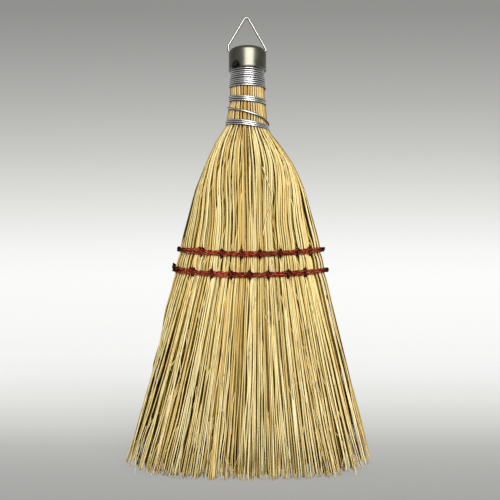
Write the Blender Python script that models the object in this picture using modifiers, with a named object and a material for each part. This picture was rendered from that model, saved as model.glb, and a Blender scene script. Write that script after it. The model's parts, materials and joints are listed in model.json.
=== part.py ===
"""Corn whisk broom: a flat fan of broomcorn on a wire-bound handle, with a tinplate cap and a hanging ring.

Metres, +Z up. The broom stands on its trimmed tips at z = 0. Its front looks along -Y, and +X is to the
right of someone who looks at the front. The stalks come down the handle as sectors of a round bundle, spread
into flat bays between the stitches, and end in fans of fibres.
"""

import math
import random
from collections import namedtuple

import bmesh
import bpy
from mathutils import Vector

# Clearance between two pieces that bear on each other on the real broom
CLEARANCE = 0.0003
MERGE_DISTANCE = 0.00001

# Brush
NECK_HEIGHT = 0.2176
NECK_RADIUS = 0.0123
TIP_HALF_WIDTH = 0.0785
TIP_HALF_DEPTH = 0.0175
SEWN_TOP_HALF_WIDTH = 0.0430
SEWN_FOOT_HALF_WIDTH = 0.0462
SEWN_HALF_DEPTH = 0.0108
SHOULDER_HALF_DEPTH = 0.0126
SEWN_TAPER_LENGTH = 0.0025
SEWN_HEM_LENGTH = 0.0015
STALK_FLUTE_DEPTH = 0.0004
STALK_INNER_INSET = 0.0014
EDGE_HALF_THICKNESS = 0.0012
STALK_OUTER_STEPS = 4

# Fibres
FIBRE_RADIUS = 0.00060
FIBRE_ROOT_LENGTH = 0.0180
TIP_RAGGED_HEIGHT = 0.0022
CORNER_RISE = 0.0060
FIBRE_SPACING = 0.0021
FIBRE_WANDER = 0.0006
FIBRE_SEED = 7
SPREAD_ROUNDS = 60
CORNER_START_SHARE = 0.4
FOOT_ROWS = 3
FIBRE_GAP_LEVELS = 6

# Binding wire, from the neck up
WIRE_RADIUS = 0.00045
WIRE_PITCH = 0.00133
WIRE_LOOP_POINTS = 16
LOWER_BAND_TURNS = 3.0
MIDDLE_BAND_TURNS = 2.5
CLOSE_WINDING_TURNS = 8.75
SLANTING_TURN_DROP = 0.0081
HIDDEN_TURN_DROP = 0.0025
BARE_STRETCH_DROP = 0.0045

# Handle radii, over the stalks
CLOSE_TOP_RADIUS = 0.00885
CLOSE_FOOT_RADIUS = 0.00995
UPPER_SWELL_RADIUS = 0.0112
MIDDLE_BAND_RADIUS = 0.01035
WAIST_RADIUS = 0.0116
LOWER_SWELL_RADIUS = 0.0128
LOWER_SWELL_HEIGHT = 0.0023

# Stalks inside the handle
CORE_STALK_RADIUS = 0.00115
CORE_STALK_SIDES = 8

# Cap
CAP_RADIUS = 0.01175
CAP_HEIGHT = 0.0141
CAP_WALL = 0.0004
CAP_SHOULDER_RADIUS = 0.0028
CAP_CROWN = 0.0005
CAP_BEAD_RADIUS = 0.00026
CAP_SEGMENTS = 40
CAP_ARC_STEPS = 4
RIM_TUCK_LENGTH = 0.0006
STALK_TOP_SPACE = 0.0029

# Cap tack
TACK_HEAD_RADIUS = 0.0015
TACK_HEAD_THICKNESS = 0.0006
TACK_HEAD_SHARES = ((0.6, 0.85), (1.0, 0.3))
TACK_SHANK_RADIUS = 0.0006
TACK_LENGTH = 0.0055
TACK_POINT_LENGTH = 0.0014
TACK_AZIMUTH = math.radians(232.0)
TACK_SEGMENTS = 12

# Hanging ring
RING_WIRE_RADIUS = 0.00065
RING_PIVOT_DEPTH = 0.0016
RING_PIN_LENGTH = 0.0024
RING_LEFT_SPAN = 0.0121
RING_LEFT_CORNER_SPAN = 0.0120
RING_LEFT_CORNER_RISE = 0.0038
RING_RIGHT_SPAN = 0.01235
RING_APEX_RISE = 0.0228
RING_APEX_OFFSET = 0.0006
RING_APEX_BEND_RADIUS = 0.0017
RING_HOOK_BEND_RADIUS = 0.0009
RING_BEND_STEPS = 4

# Stitching twine
TWINE_RADIUS = 0.0006
TWINE_PITCH = 0.00170
TWINE_STAND_OFF = 0.0020
TWINE_CHORD_ALLOWANCE = 0.0003
TWINE_BEND = 0.0006
TWINE_TURN_POINTS = 20
TWINE_BAND_TURNS = 2
TWINE_CLIMB_START_SHARE = 0.86
TWINE_LEAD_SHARE = 0.97
LOWER_ROW_HEIGHT = 0.1240
ROW_SPACING = 0.0128
ROW_END_RISE = 0.0023

# Where the stitches pass through, as shares of the half width
UPPER_KNOT_SHARES = (-0.64, -0.39, -0.13, 0.13, 0.39, 0.64)
LOWER_KNOT_SHARES = (-0.75, -0.50, -0.25, 0.0, 0.25, 0.50, 0.75)

# Shoulder outline between the neck and the stitching: height share, then spread share
SHOULDER_SHARES = ((0.79, 0.345), (0.59, 0.575), (0.295, 0.82))

CUT_OVERRUN = 0.0020

# How far along a tube, in radii, two of its points count as neighbours when its gaps are measured
NEIGHBOUR_RADII = 7
GAP_SAMPLES = 3

Station = namedtuple("Station", "height half_width half_depth fan half_gap")

# Places worked out from the sizes above
BAY_EDGE_SHARES = (-1.0,) + tuple(sorted(UPPER_KNOT_SHARES + LOWER_KNOT_SHARES)) + (1.0,)
BAYS = len(BAY_EDGE_SHARES) - 1
UPPER_ROW_HEIGHT = LOWER_ROW_HEIGHT + ROW_SPACING
TWINE_LEG_OFFSET = TWINE_PITCH / 2 + TWINE_PITCH
TWINE_PASSAGE_HALF_GAP = TWINE_RADIUS + CLEARANCE
SEWN_MARGIN = TWINE_LEG_OFFSET + TWINE_RADIUS + CLEARANCE
SEWN_TOP_HEIGHT = UPPER_ROW_HEIGHT + ROW_END_RISE + SEWN_MARGIN
SEWN_FOOT_HEIGHT = LOWER_ROW_HEIGHT - SEWN_MARGIN - SEWN_HEM_LENGTH

WIRE_FOOT_HEIGHT = NECK_HEIGHT - WIRE_PITCH / 2
LOWER_BAND_TOP = WIRE_FOOT_HEIGHT + LOWER_BAND_TURNS * WIRE_PITCH
SLANTING_TURN_TOP = LOWER_BAND_TOP + SLANTING_TURN_DROP
MIDDLE_BAND_FOOT = SLANTING_TURN_TOP + HIDDEN_TURN_DROP
MIDDLE_BAND_TOP = MIDDLE_BAND_FOOT + MIDDLE_BAND_TURNS * WIRE_PITCH
CLOSE_WINDING_FOOT = MIDDLE_BAND_TOP + BARE_STRETCH_DROP
CLOSE_WINDING_TOP = CLOSE_WINDING_FOOT + CLOSE_WINDING_TURNS * WIRE_PITCH

CAP_RIM_HEIGHT = CLOSE_WINDING_TOP + WIRE_RADIUS + CLEARANCE
CAP_TOP_HEIGHT = CAP_RIM_HEIGHT + CAP_HEIGHT
RING_PIVOT_HEIGHT = CAP_TOP_HEIGHT - RING_PIVOT_DEPTH
STALK_TOP_HEIGHT = RING_PIVOT_HEIGHT - RING_WIRE_RADIUS - STALK_TOP_SPACE
CAPPED_RADIUS = CAP_RADIUS - CAP_WALL - CLEARANCE
TACK_HEIGHT = CAP_RIM_HEIGHT + TACK_HEAD_RADIUS + CLEARANCE
CORE_RING_RADIUS = 2 * CORE_STALK_RADIUS + CLEARANCE
CORE_HOLE_RADIUS = CORE_RING_RADIUS + CORE_STALK_RADIUS + CLEARANCE


def clear_scene():
    for old in list(bpy.data.objects):
        bpy.data.objects.remove(old)


def make_collection(name):
    collection = bpy.data.collections.new(name)
    bpy.context.scene.collection.children.link(collection)
    return collection


def make_material(name, colour, roughness, metallic=0.0):
    material = bpy.data.materials.new(name)
    material.use_nodes = True
    shader = material.node_tree.nodes["Principled BSDF"]
    shader.inputs["Base Color"].default_value = (*colour, 1.0)
    shader.inputs["Roughness"].default_value = roughness
    shader.inputs["Metallic"].default_value = metallic
    return material


def add_object(name, data, collection, material=None, location=(0.0, 0.0, 0.0)):
    made = bpy.data.objects.new(name, data)
    made.location = location
    collection.objects.link(made)
    if material:
        data.materials.append(material)
    return made


def mesh_from(name, bm):
    bmesh.ops.recalc_face_normals(bm, faces=bm.faces)
    mesh = bpy.data.meshes.new(name)
    bm.to_mesh(mesh)
    bm.free()
    return mesh


def cut(target, cutter):
    modifier = target.modifiers.new("cut by " + cutter.name, "BOOLEAN")
    modifier.operation = "DIFFERENCE"
    modifier.object = cutter


def hide_cutter(cutter):
    cutter.hide_render = True
    cutter.display_type = "WIRE"


def stations():
    """Cross-sections of the stalks, from the top of the handle to the foot of the stitching."""
    half_gap = CLEARANCE / 2
    handle = [
        (STALK_TOP_HEIGHT, CAPPED_RADIUS),
        (CAP_RIM_HEIGHT + RIM_TUCK_LENGTH, CAPPED_RADIUS),
        (CAP_RIM_HEIGHT, CLOSE_TOP_RADIUS),
        (CLOSE_WINDING_FOOT - WIRE_RADIUS, CLOSE_FOOT_RADIUS),
        ((CLOSE_WINDING_FOOT + MIDDLE_BAND_TOP) / 2, UPPER_SWELL_RADIUS),
        ((MIDDLE_BAND_TOP + MIDDLE_BAND_FOOT) / 2, MIDDLE_BAND_RADIUS),
        ((MIDDLE_BAND_FOOT + LOWER_BAND_TOP) / 2, WAIST_RADIUS),
        (LOWER_BAND_TOP + LOWER_SWELL_HEIGHT, LOWER_SWELL_RADIUS),
        (NECK_HEIGHT, NECK_RADIUS),
    ]
    found = [Station(height, radius, radius, 0.0, half_gap) for height, radius in handle]
    top = SEWN_TOP_HEIGHT + SEWN_TAPER_LENGTH
    for order, (height_share, spread_share) in enumerate(SHOULDER_SHARES, 1):
        fan = min(1.0, order / (len(SHOULDER_SHARES) - 1))
        depth_share = order / (len(SHOULDER_SHARES) + 1)
        found.append(
            Station(
                top + height_share * (NECK_HEIGHT - top),
                NECK_RADIUS + spread_share * (SEWN_TOP_HALF_WIDTH - NECK_RADIUS),
                SHOULDER_HALF_DEPTH + depth_share * (SEWN_HALF_DEPTH - SHOULDER_HALF_DEPTH),
                fan,
                half_gap,
            )
        )
    found.append(Station(top, SEWN_TOP_HALF_WIDTH, SEWN_HALF_DEPTH, 1.0, half_gap))
    for height, width in (
        (SEWN_TOP_HEIGHT, SEWN_TOP_HALF_WIDTH),
        (SEWN_FOOT_HEIGHT, SEWN_FOOT_HALF_WIDTH),
    ):
        found.append(Station(height, width, SEWN_HALF_DEPTH, 1.0, TWINE_PASSAGE_HALF_GAP))
    return found


STATIONS = stations()


def half_size(height, field):
    """Half width or half depth at a height, between the two stations around it."""
    for above, below in zip(STATIONS, STATIONS[1:]):
        if below.height <= height <= above.height:
            share = (height - below.height) / (above.height - below.height)
            low = getattr(below, field)
            return low + share * (getattr(above, field) - low)
    return getattr(STATIONS[0], field)


def across(place, fan):
    """Share of the half width at a place counted in bays from the left, evenly round the handle at fan 0."""
    bay = min(int(place), BAYS - 1)
    low, high = BAY_EDGE_SHARES[bay], BAY_EDGE_SHARES[bay + 1]
    flat = low + (place - bay) * (high - low)
    turned = -math.cos(math.pi * place / BAYS)
    return turned + fan * (flat - turned)


def outer_point(station, place, side, inset):
    """A point of the outline. The two side edges are blunt, so that front and back stalks stay apart."""
    edge = CLEARANCE / 2 + station.fan * (EDGE_HALF_THICKNESS - CLEARANCE / 2)
    limit = math.sqrt(1.0 - (edge / station.half_depth) ** 2)
    share = max(-limit, min(limit, across(place, station.fan)))
    depth = (station.half_depth - inset) * math.sqrt(1.0 - share * share)
    x = (station.half_width - inset * (1.0 - station.fan)) * share
    return Vector((x, side * depth, station.height))


def inner_point(station, place, side):
    share = across(place, station.fan)
    limit = station.half_width - STALK_INNER_INSET
    flat = max(-limit, min(limit, station.half_width * share))
    round_core = CORE_HOLE_RADIUS * share
    depth = (1.0 - station.fan) * CORE_HOLE_RADIUS * math.sqrt(max(0.0, 1.0 - share * share))
    x = round_core + station.fan * (flat - round_core)
    return Vector((x, side * max(depth, CLEARANCE / 2), station.height))


def gap_shares(station, bay, point_at):
    """How far a stalk's two walls stay from the bay's edges, as shares of the bay."""
    width = point_at(bay + 1) - point_at(bay)
    width.y *= 1.0 - station.fan
    share = station.half_gap / width.length
    return (0.0 if bay == 0 else share), (0.0 if bay == BAYS - 1 else share)


def stalk_section(station, bay, side):
    """Outer points from left to right, with two ridges, then the right and left inner corners."""
    left, right = gap_shares(station, bay, lambda place: outer_point(station, place, side, 0.0))
    points = []
    for step in range(STALK_OUTER_STEPS + 1):
        place = bay + left + (1.0 - left - right) * step / STALK_OUTER_STEPS
        inset = 0.0 if step % 2 else STALK_FLUTE_DEPTH
        points.append(outer_point(station, place, side, inset))
    left, right = gap_shares(station, bay, lambda place: inner_point(station, place, side))
    points.append(inner_point(station, bay + 1 - right, side))
    points.append(inner_point(station, bay + left, side))
    return points


def loft_sections(bm, sections):
    """Join like sections by triangles, with one diagonal on two walls that face each other across a gap."""
    rings = [[bm.verts.new(point) for point in section] for section in sections]
    count = len(rings[0])
    for upper, lower in zip(rings, rings[1:]):
        for a in range(count):
            b = (a + 1) % count
            if b == 0:
                bm.faces.new((upper[a], upper[b], lower[a]))
                bm.faces.new((upper[b], lower[b], lower[a]))
            else:
                bm.faces.new((upper[a], upper[b], lower[b]))
                bm.faces.new((upper[a], lower[b], lower[a]))
    bm.faces.new(rings[0])
    return rings[-1]


def loft_unlike(bm, upper, upper_places, lower, lower_places):
    """Join two rings with unlike counts, whose places count the upper ring's edges."""
    a = b = 0
    while a < len(upper) or b < len(lower):
        next_a = upper_places[a + 1] if a + 1 < len(upper) else len(upper)
        next_b = lower_places[b + 1] if b + 1 < len(lower) else len(upper)
        here, there = upper[a % len(upper)], lower[b % len(lower)]
        if b == len(lower) or (a < len(upper) and next_a <= next_b):
            a += 1
            bm.faces.new((here, upper[a % len(upper)], there))
        else:
            b += 1
            bm.faces.new((here, lower[b % len(lower)], there))


def foot_cells(bm, ring, section):
    """Close a stalk's foot with triangles, one for each fibre, on a grid of two columns and three rows."""
    corners = (0, STALK_OUTER_STEPS // 2, STALK_OUTER_STEPS, STALK_OUTER_STEPS + 1, STALK_OUTER_STEPS + 2)
    left, middle, right, inner_right, inner_left = (section[corner] for corner in corners)
    rows = [row / FOOT_ROWS for row in range(1, FOOT_ROWS)]
    outline = [left, middle, right]
    outline += [right.lerp(inner_right, row) for row in rows]
    outline += [inner_right, inner_left]
    outline += [inner_left.lerp(left, row) for row in rows]
    foot = [bm.verts.new(point) for point in outline]
    places = list(corners[:3])
    places += [corners[2] + row for row in rows]
    places += list(corners[3:])
    places += [corners[4] + row for row in rows]
    loft_unlike(bm, ring, range(len(ring)), foot, places)
    inner = (inner_left + inner_right) / 2
    near, deep = (bm.verts.new(middle.lerp(inner, row)) for row in rows)
    o_left, o_mid, o_right, r_near, r_deep, r_inner, l_inner, l_deep, l_near = foot
    cells = (
        (o_left, o_mid, l_near),
        (o_mid, near, l_near),
        (o_mid, o_right, r_near),
        (o_mid, r_near, near),
        (l_near, near, deep),
        (l_near, deep, l_deep),
        (near, r_near, deep),
        (r_near, r_deep, deep),
        (l_deep, deep, l_inner),
        (deep, r_inner, l_inner),
        (deep, r_deep, r_inner),
    )
    return [bm.faces.new(cell) for cell in cells]


def keep_in_bay(place, bay):
    """The nearest place for a fibre at the foot that clears the bay's edges."""
    foot = STATIONS[-1]
    margin = FIBRE_RADIUS + CLEARANCE
    low = foot.half_width * BAY_EDGE_SHARES[bay] + margin
    high = foot.half_width * BAY_EDGE_SHARES[bay + 1] - margin
    x = min(max(place.x, low), high)
    deep = foot.half_depth * math.sqrt(1.0 - (x / foot.half_width) ** 2)
    return Vector((x, min(max(place.y, margin), max(margin, deep - margin))))


def spread_in_bay(centres, bay):
    """The fibres of a stalk push each other apart until they fill the bay evenly."""
    places = [keep_in_bay(Vector((centre.x, abs(centre.y))), bay) for centre in centres]
    for _ in range(SPREAD_ROUNDS):
        pushes = [Vector((0.0, 0.0)) for _ in places]
        for i, a in enumerate(places):
            for j in range(i):
                away = a - places[j]
                lack = FIBRE_SPACING - away.length
                if lack > 0.0:
                    push = away.normalized() * lack / 2
                    pushes[i] += push
                    pushes[j] -= push
        places = [keep_in_bay(place + push, bay) for place, push in zip(places, pushes)]
    return places


def fibre_axis(place, side, dice):
    """The line that a fibre follows, from its place at the foot to its trimmed tip."""
    foot = STATIONS[-1]
    share = place.x / foot.half_width
    edge = max(0.0, abs(share) - CORNER_START_SHARE) / (1.0 - CORNER_START_SHARE)
    rise = CORNER_RISE * edge**2 + dice.uniform(-TIP_RAGGED_HEIGHT, TIP_RAGGED_HEIGHT)
    x = TIP_HALF_WIDTH * share + dice.uniform(-FIBRE_WANDER, FIBRE_WANDER)
    y = TIP_HALF_DEPTH * place.y / foot.half_depth + dice.uniform(0.0, FIBRE_WANDER)
    root = Vector((place.x, side * place.y, foot.height))
    return root, Vector((x, side * y, max(0.0, rise)))


def move_ring(face, centre, radius):
    """Set a three-sided face level round a centre, turned as it is."""
    corners = list(face.verts)
    middle = face.calc_center_median()
    angles = [math.atan2(vert.co.y - middle.y, vert.co.x - middle.x) for vert in corners]
    turn = 1.0 if (angles[1] - angles[0]) % math.tau < math.pi else -1.0
    start = sum((angle - angles[0] - turn * math.tau * k / 3 + math.pi) % math.tau - math.pi
                for k, angle in enumerate(angles)) / 3 + angles[0]
    for k, vert in enumerate(corners):
        angle = start + turn * math.tau * k / 3
        vert.co = centre + Vector((radius * math.cos(angle), radius * math.sin(angle), 0.0))


def grow_fibres(bm, cells, bay, side, dice, axes):
    places = spread_in_bay([face.calc_center_median() for face in cells], bay)
    placed = [fibre_axis(place, side, dice) for place in places]
    for whole in (False, True):
        cells = bmesh.ops.extrude_discrete_faces(bm, faces=cells)["faces"]
        for face, (root, tip) in zip(cells, placed):
            share = 1.0 if whole else FIBRE_ROOT_LENGTH / (root.z - tip.z)
            move_ring(face, root.lerp(tip, share), FIBRE_RADIUS)
    axes.extend(placed)


def make_stalks(collection, material, axes):
    made = []
    for side, word in ((-1.0, "front"), (1.0, "back")):
        for bay in range(BAYS):
            dice = random.Random(FIBRE_SEED + bay + BAYS * int(side > 0))
            bm = bmesh.new()
            sections = [stalk_section(station, bay, side) for station in STATIONS]
            ring = loft_sections(bm, sections[:-1])
            grow_fibres(bm, foot_cells(bm, ring, sections[-1]), bay, side, dice, axes)
            bmesh.ops.triangulate(bm, faces=bm.faces)
            name = f"hurl_{word}_{bay + 1:02d}"
            made.append(add_object(name, mesh_from(name, bm), collection, material))
    return made


def print_fibre_gap(axes):
    """Print how many fibres there are and the least distance between two of them, walls included."""
    least = math.inf
    for level in range(FIBRE_GAP_LEVELS):
        places = []
        for root, tip in axes:
            taken = FIBRE_ROOT_LENGTH / (root.z - tip.z)
            share = taken + (1.0 - taken) * level / (FIBRE_GAP_LEVELS - 1)
            places.append(root.lerp(tip, share))
        for order, a in enumerate(places):
            for b in places[order + 1:]:
                least = min(least, (a.xy - b.xy).length)
    print(f"{len(axes)} fibres, least gap {(least - 2 * FIBRE_RADIUS) * 1000:.2f} mm")


def make_core_stalks(collection, material):
    """A stalk in the middle of the handle and six round it."""
    places = [(0.0, 0.0)]
    places += [
        (CORE_RING_RADIUS * math.cos(math.tau * k / 6), CORE_RING_RADIUS * math.sin(math.tau * k / 6))
        for k in range(6)
    ]
    length = STALK_TOP_HEIGHT - NECK_HEIGHT
    for order, (x, y) in enumerate(places, 1):
        bm = bmesh.new()
        bmesh.ops.create_cone(
            bm,
            cap_ends=True,
            segments=CORE_STALK_SIDES,
            radius1=CORE_STALK_RADIUS,
            radius2=CORE_STALK_RADIUS,
            depth=length,
        )
        name = f"core_stalk_{order}"
        add_object(name, mesh_from(name, bm), collection, material, (x, y, NECK_HEIGHT + length / 2))


def tube(name, points, radius, resolution, collection, material, location=(0.0, 0.0, 0.0)):
    curve = bpy.data.curves.new(name, "CURVE")
    curve.dimensions = "3D"
    curve.bevel_depth = radius
    curve.bevel_resolution = resolution
    curve.use_fill_caps = True
    spline = curve.splines.new("POLY")
    spline.points.add(len(points) - 1)
    for slot, point in zip(spline.points, points):
        slot.co = (*point, 1.0)
    return add_object(name, curve, collection, material, location)


def print_least_gap(name, points, radius):
    """Print the least gap between a tube's stretches, measured on points along its segments."""
    fine = []
    for a, b in zip(points, points[1:]):
        fine += [a.lerp(b, sample / GAP_SAMPLES) for sample in range(GAP_SAMPLES)]
    lengths = [0.0]
    for a, b in zip(fine, fine[1:]):
        lengths.append(lengths[-1] + (b - a).length)
    least = math.inf
    for i, a in enumerate(fine):
        for j in range(i + 1, len(fine)):
            if lengths[j] - lengths[i] > NEIGHBOUR_RADII * radius:
                least = min(least, (fine[j] - a).length)
    print(f"{name}: least gap to itself {(least - 2 * radius) * 1000:.2f} mm")


def wire_height(turn):
    """Height of the binding wire after a number of turns, from its top end down."""
    stretches = (
        (CLOSE_WINDING_TURNS, CLOSE_WINDING_TOP, CLOSE_WINDING_FOOT),
        (0.5, CLOSE_WINDING_FOOT, MIDDLE_BAND_TOP),
        (MIDDLE_BAND_TURNS, MIDDLE_BAND_TOP, MIDDLE_BAND_FOOT),
        (0.5, MIDDLE_BAND_FOOT, SLANTING_TURN_TOP),
        (0.5, SLANTING_TURN_TOP, LOWER_BAND_TOP),
        (LOWER_BAND_TURNS, LOWER_BAND_TOP, WIRE_FOOT_HEIGHT),
    )
    for turns, top, foot in stretches:
        if turn <= turns:
            return top + (foot - top) * turn / turns
        turn -= turns
    return WIRE_FOOT_HEIGHT


def make_binding_wire(collection, material):
    """One unbroken wire, which starts at the back and turns by the left to the front on its way down."""
    turns = CLOSE_WINDING_TURNS + MIDDLE_BAND_TURNS + LOWER_BAND_TURNS + 1.5
    count = round(turns * WIRE_LOOP_POINTS)
    points = []
    for order in range(count + 1):
        turn = turns * order / count
        height = wire_height(turn)
        radius = half_size(height, "half_width") + CLEARANCE + WIRE_RADIUS
        angle = math.pi / 2 + math.tau * turn
        points.append(Vector((radius * math.cos(angle), radius * math.sin(angle), height)))
    for end, towards in ((0, 1), (-1, -2)):
        along = (points[end] - points[towards]).normalized()
        straight = points[end] + along * (2 * WIRE_RADIUS)
        points.insert(0 if end == 0 else len(points), straight)
    print_least_gap("binding_wire", points, WIRE_RADIUS)
    tube("binding_wire", points, WIRE_RADIUS, 1, collection, material)


def row_point(row_height, share, offset, side, rise):
    """A point beside the brush at a share of its half width, off its face and above or below the row."""
    height = row_height + ROW_END_RISE * share * share + rise
    wide = half_size(height, "half_width")
    outer = share * wide / (wide + offset)
    y = (SEWN_HALF_DEPTH + offset) * math.sqrt(1.0 - outer * outer)
    return Vector((wide * share, side * y, height))


def band_points(row_height, offset):
    """Two turns round the brush, which climb a pitch just before they come back to the left edge."""
    points = []
    for order in range(TWINE_BAND_TURNS * TWINE_TURN_POINTS + 1):
        turn = order / TWINE_TURN_POINTS
        even = math.pi + math.tau * turn
        angle = even - math.sin(2 * even) / 4
        part = turn - int(turn) if order < TWINE_BAND_TURNS * TWINE_TURN_POINTS else 1.0
        whole = round(turn - part)
        climb = max(0.0, part - TWINE_CLIMB_START_SHARE) / (1.0 - TWINE_CLIMB_START_SHARE)
        share = math.cos(angle)
        height = row_height + ROW_END_RISE * share * share
        wide = half_size(height, "half_width") + offset
        x = wide * share
        y = (SEWN_HALF_DEPTH + offset) * math.sin(angle)
        points.append(Vector((x, y, height + TWINE_PITCH * (whole - 0.5 + climb))))
    return points


def make_stitching(name, row_height, knot_shares, collection, material):
    """One unbroken twine: two turns round the brush, then stitches over them and through to the back."""
    near = TWINE_RADIUS + CLEARANCE + TWINE_CHORD_ALLOWANCE
    far = near + TWINE_STAND_OFF
    leg = TWINE_LEG_OFFSET
    points = band_points(row_height, near)
    first = knot_shares[0]
    for share in (-TWINE_LEAD_SHARE, (first - 1.0) / 2):
        points.append(row_point(row_height, share, near, -1.0, leg))
    for order, share in enumerate(knot_shares):
        points.append(row_point(row_height, share, near, -1.0, leg))
        points.append(row_point(row_height, share, far, -1.0, leg - TWINE_BEND))
        points.append(row_point(row_height, share, far, -1.0, TWINE_BEND - leg))
        points.append(row_point(row_height, share, near, -1.0, -leg))
        points.append(row_point(row_height, share, far, 1.0, -leg))
        if order + 1 < len(knot_shares):
            following = knot_shares[order + 1]
            points.append(row_point(row_height, (share + following) / 2, far, 1.0, 0.0))
            points.append(row_point(row_height, following, far, 1.0, leg))
    print_least_gap(name, points, TWINE_RADIUS)
    tube(name, points, TWINE_RADIUS, 1, collection, material)


def arc(centre_x, centre_z, radius, first, last, steps):
    """Points of an arc in the XZ plane, angles from +X towards +Z."""
    angles = [first + (last - first) * step / steps for step in range(steps + 1)]
    return [(centre_x + radius * math.cos(a), centre_z + radius * math.sin(a)) for a in angles]


def turned(name, profile, segments, collection, material, location=(0.0, 0.0, 0.0)):
    """A profile turned about Z. Its points run from the top of the outer side down and back up inside."""
    mesh = bpy.data.meshes.new(name)
    edges = [(k, k + 1) for k in range(len(profile) - 1)]
    mesh.from_pydata([(x, 0.0, z) for x, z in profile], edges, [])
    made = add_object(name, mesh, collection, material, location)
    screw = made.modifiers.new("turn", "SCREW")
    screw.steps = segments
    screw.render_steps = segments
    screw.use_merge_vertices = True
    screw.merge_threshold = MERGE_DISTANCE
    screw.use_smooth_shade = True
    return made


def cap_profile():
    quarter = math.pi / 2
    shoulder = CAP_RADIUS - CAP_SHOULDER_RADIUS
    edge = CAP_TOP_HEIGHT - CAP_CROWN
    outside = arc(shoulder, edge - CAP_SHOULDER_RADIUS, CAP_SHOULDER_RADIUS, quarter, 0.0, CAP_ARC_STEPS)
    bead = arc(
        CAP_RADIUS,
        CAP_RIM_HEIGHT + CAP_BEAD_RADIUS,
        CAP_BEAD_RADIUS,
        quarter,
        -quarter,
        CAP_ARC_STEPS,
    )
    inside = arc(
        shoulder,
        edge - CAP_SHOULDER_RADIUS,
        CAP_SHOULDER_RADIUS - CAP_WALL,
        0.0,
        quarter,
        CAP_ARC_STEPS,
    )
    rim = [(CAP_RADIUS - CAP_WALL, CAP_RIM_HEIGHT)]
    return [(0.0, CAP_TOP_HEIGHT)] + outside + bead + rim + inside + [(0.0, CAP_TOP_HEIGHT - CAP_WALL)]


def bar_cutter(name, radius, start, end, segments, collection):
    """A round cutter between two points."""
    bm = bmesh.new()
    along = end - start
    bmesh.ops.create_cone(
        bm, cap_ends=True, segments=segments, radius1=radius, radius2=radius, depth=along.length
    )
    bmesh.ops.rotate(bm, verts=bm.verts, matrix=along.to_track_quat("Z", "Y").to_matrix())
    bmesh.ops.translate(bm, verts=bm.verts, vec=(start + end) / 2)
    cutter = add_object(name, mesh_from(name, bm), collection)
    hide_cutter(cutter)
    return cutter


def make_cap(collection, cutters, material, tack_hole):
    cap = turned("cap", cap_profile(), CAP_SEGMENTS, collection, material)
    reach = CAP_RADIUS + CUT_OVERRUN
    pin_hole = bar_cutter(
        "ring_hole_cutter",
        RING_WIRE_RADIUS + CLEARANCE,
        Vector((-reach, 0.0, RING_PIVOT_HEIGHT)),
        Vector((reach, 0.0, RING_PIVOT_HEIGHT)),
        TACK_SEGMENTS,
        cutters,
    )
    cut(cap, pin_hole)
    cut(cap, tack_hole)


def tack_direction():
    return Vector((math.cos(TACK_AZIMUTH), math.sin(TACK_AZIMUTH), 0.0))


def make_tack_hole(cutters):
    out = tack_direction()
    middle = Vector((0.0, 0.0, TACK_HEIGHT))
    head_back = CAP_RADIUS + CAP_BEAD_RADIUS + CLEARANCE
    return bar_cutter(
        "tack_hole_cutter",
        TACK_SHANK_RADIUS + CLEARANCE,
        middle + out * (head_back - TACK_LENGTH - CLEARANCE),
        middle + out * (CAP_RADIUS + CUT_OVERRUN),
        TACK_SEGMENTS,
        cutters,
    )


def make_tack(collection, material):
    profile = [(0.0, TACK_HEAD_THICKNESS)]
    profile += [(TACK_HEAD_RADIUS * wide, TACK_HEAD_THICKNESS * thick) for wide, thick in TACK_HEAD_SHARES]
    profile += [
        (TACK_HEAD_RADIUS, 0.0),
        (TACK_SHANK_RADIUS, 0.0),
        (TACK_SHANK_RADIUS, TACK_POINT_LENGTH - TACK_LENGTH),
        (0.0, -TACK_LENGTH),
    ]
    out = tack_direction()
    head_back = CAP_RADIUS + CAP_BEAD_RADIUS + CLEARANCE
    place = out * head_back + Vector((0.0, 0.0, TACK_HEIGHT))
    tack = turned("cap_tack", profile, TACK_SEGMENTS, collection, material, place)
    tack.rotation_mode = "QUATERNION"
    tack.rotation_quaternion = out.to_track_quat("Z", "Y")


def rounded_route(corners, radii, steps):
    """A route through corners in the XZ plane, each bend an arc of its own radius."""
    points = [corners[0]]
    for before, corner, after, radius in zip(corners, corners[1:], corners[2:], radii):
        back = (before - corner).normalized()
        on = (after - corner).normalized()
        half = back.angle(on) / 2
        reach = radius / math.tan(half)
        centre = corner + (back + on).normalized() * (radius / math.sin(half))
        start = corner + back * reach - centre
        end = corner + on * reach - centre
        sweep = start.angle(end)
        for step in range(steps + 1):
            share = step / steps
            weight = math.sin(sweep)
            arm = start * (math.sin((1 - share) * sweep) / weight) + end * (math.sin(share * sweep) / weight)
            points.append(centre + arm)
    points.append(corners[-1])
    return points


def make_ring(collection, material):
    """The hanging ring, with its origin on the line of its two pins."""
    wall = CAP_RADIUS - CAP_WALL
    pin = wall - RING_PIN_LENGTH
    corners = [
        Vector((-pin, 0.0, 0.0)),
        Vector((-RING_LEFT_SPAN, 0.0, 0.0)),
        Vector((-RING_LEFT_CORNER_SPAN, 0.0, RING_LEFT_CORNER_RISE)),
        Vector((-RING_APEX_OFFSET, 0.0, RING_APEX_RISE)),
        Vector((RING_RIGHT_SPAN, 0.0, 0.0)),
        Vector((pin, 0.0, 0.0)),
    ]
    radii = [RING_HOOK_BEND_RADIUS] * 2 + [RING_APEX_BEND_RADIUS, RING_HOOK_BEND_RADIUS]
    route = rounded_route(corners, radii, RING_BEND_STEPS)
    place = (0.0, 0.0, RING_PIVOT_HEIGHT)
    tube("hanging_ring", route, RING_WIRE_RADIUS, 2, collection, material, place)


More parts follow.
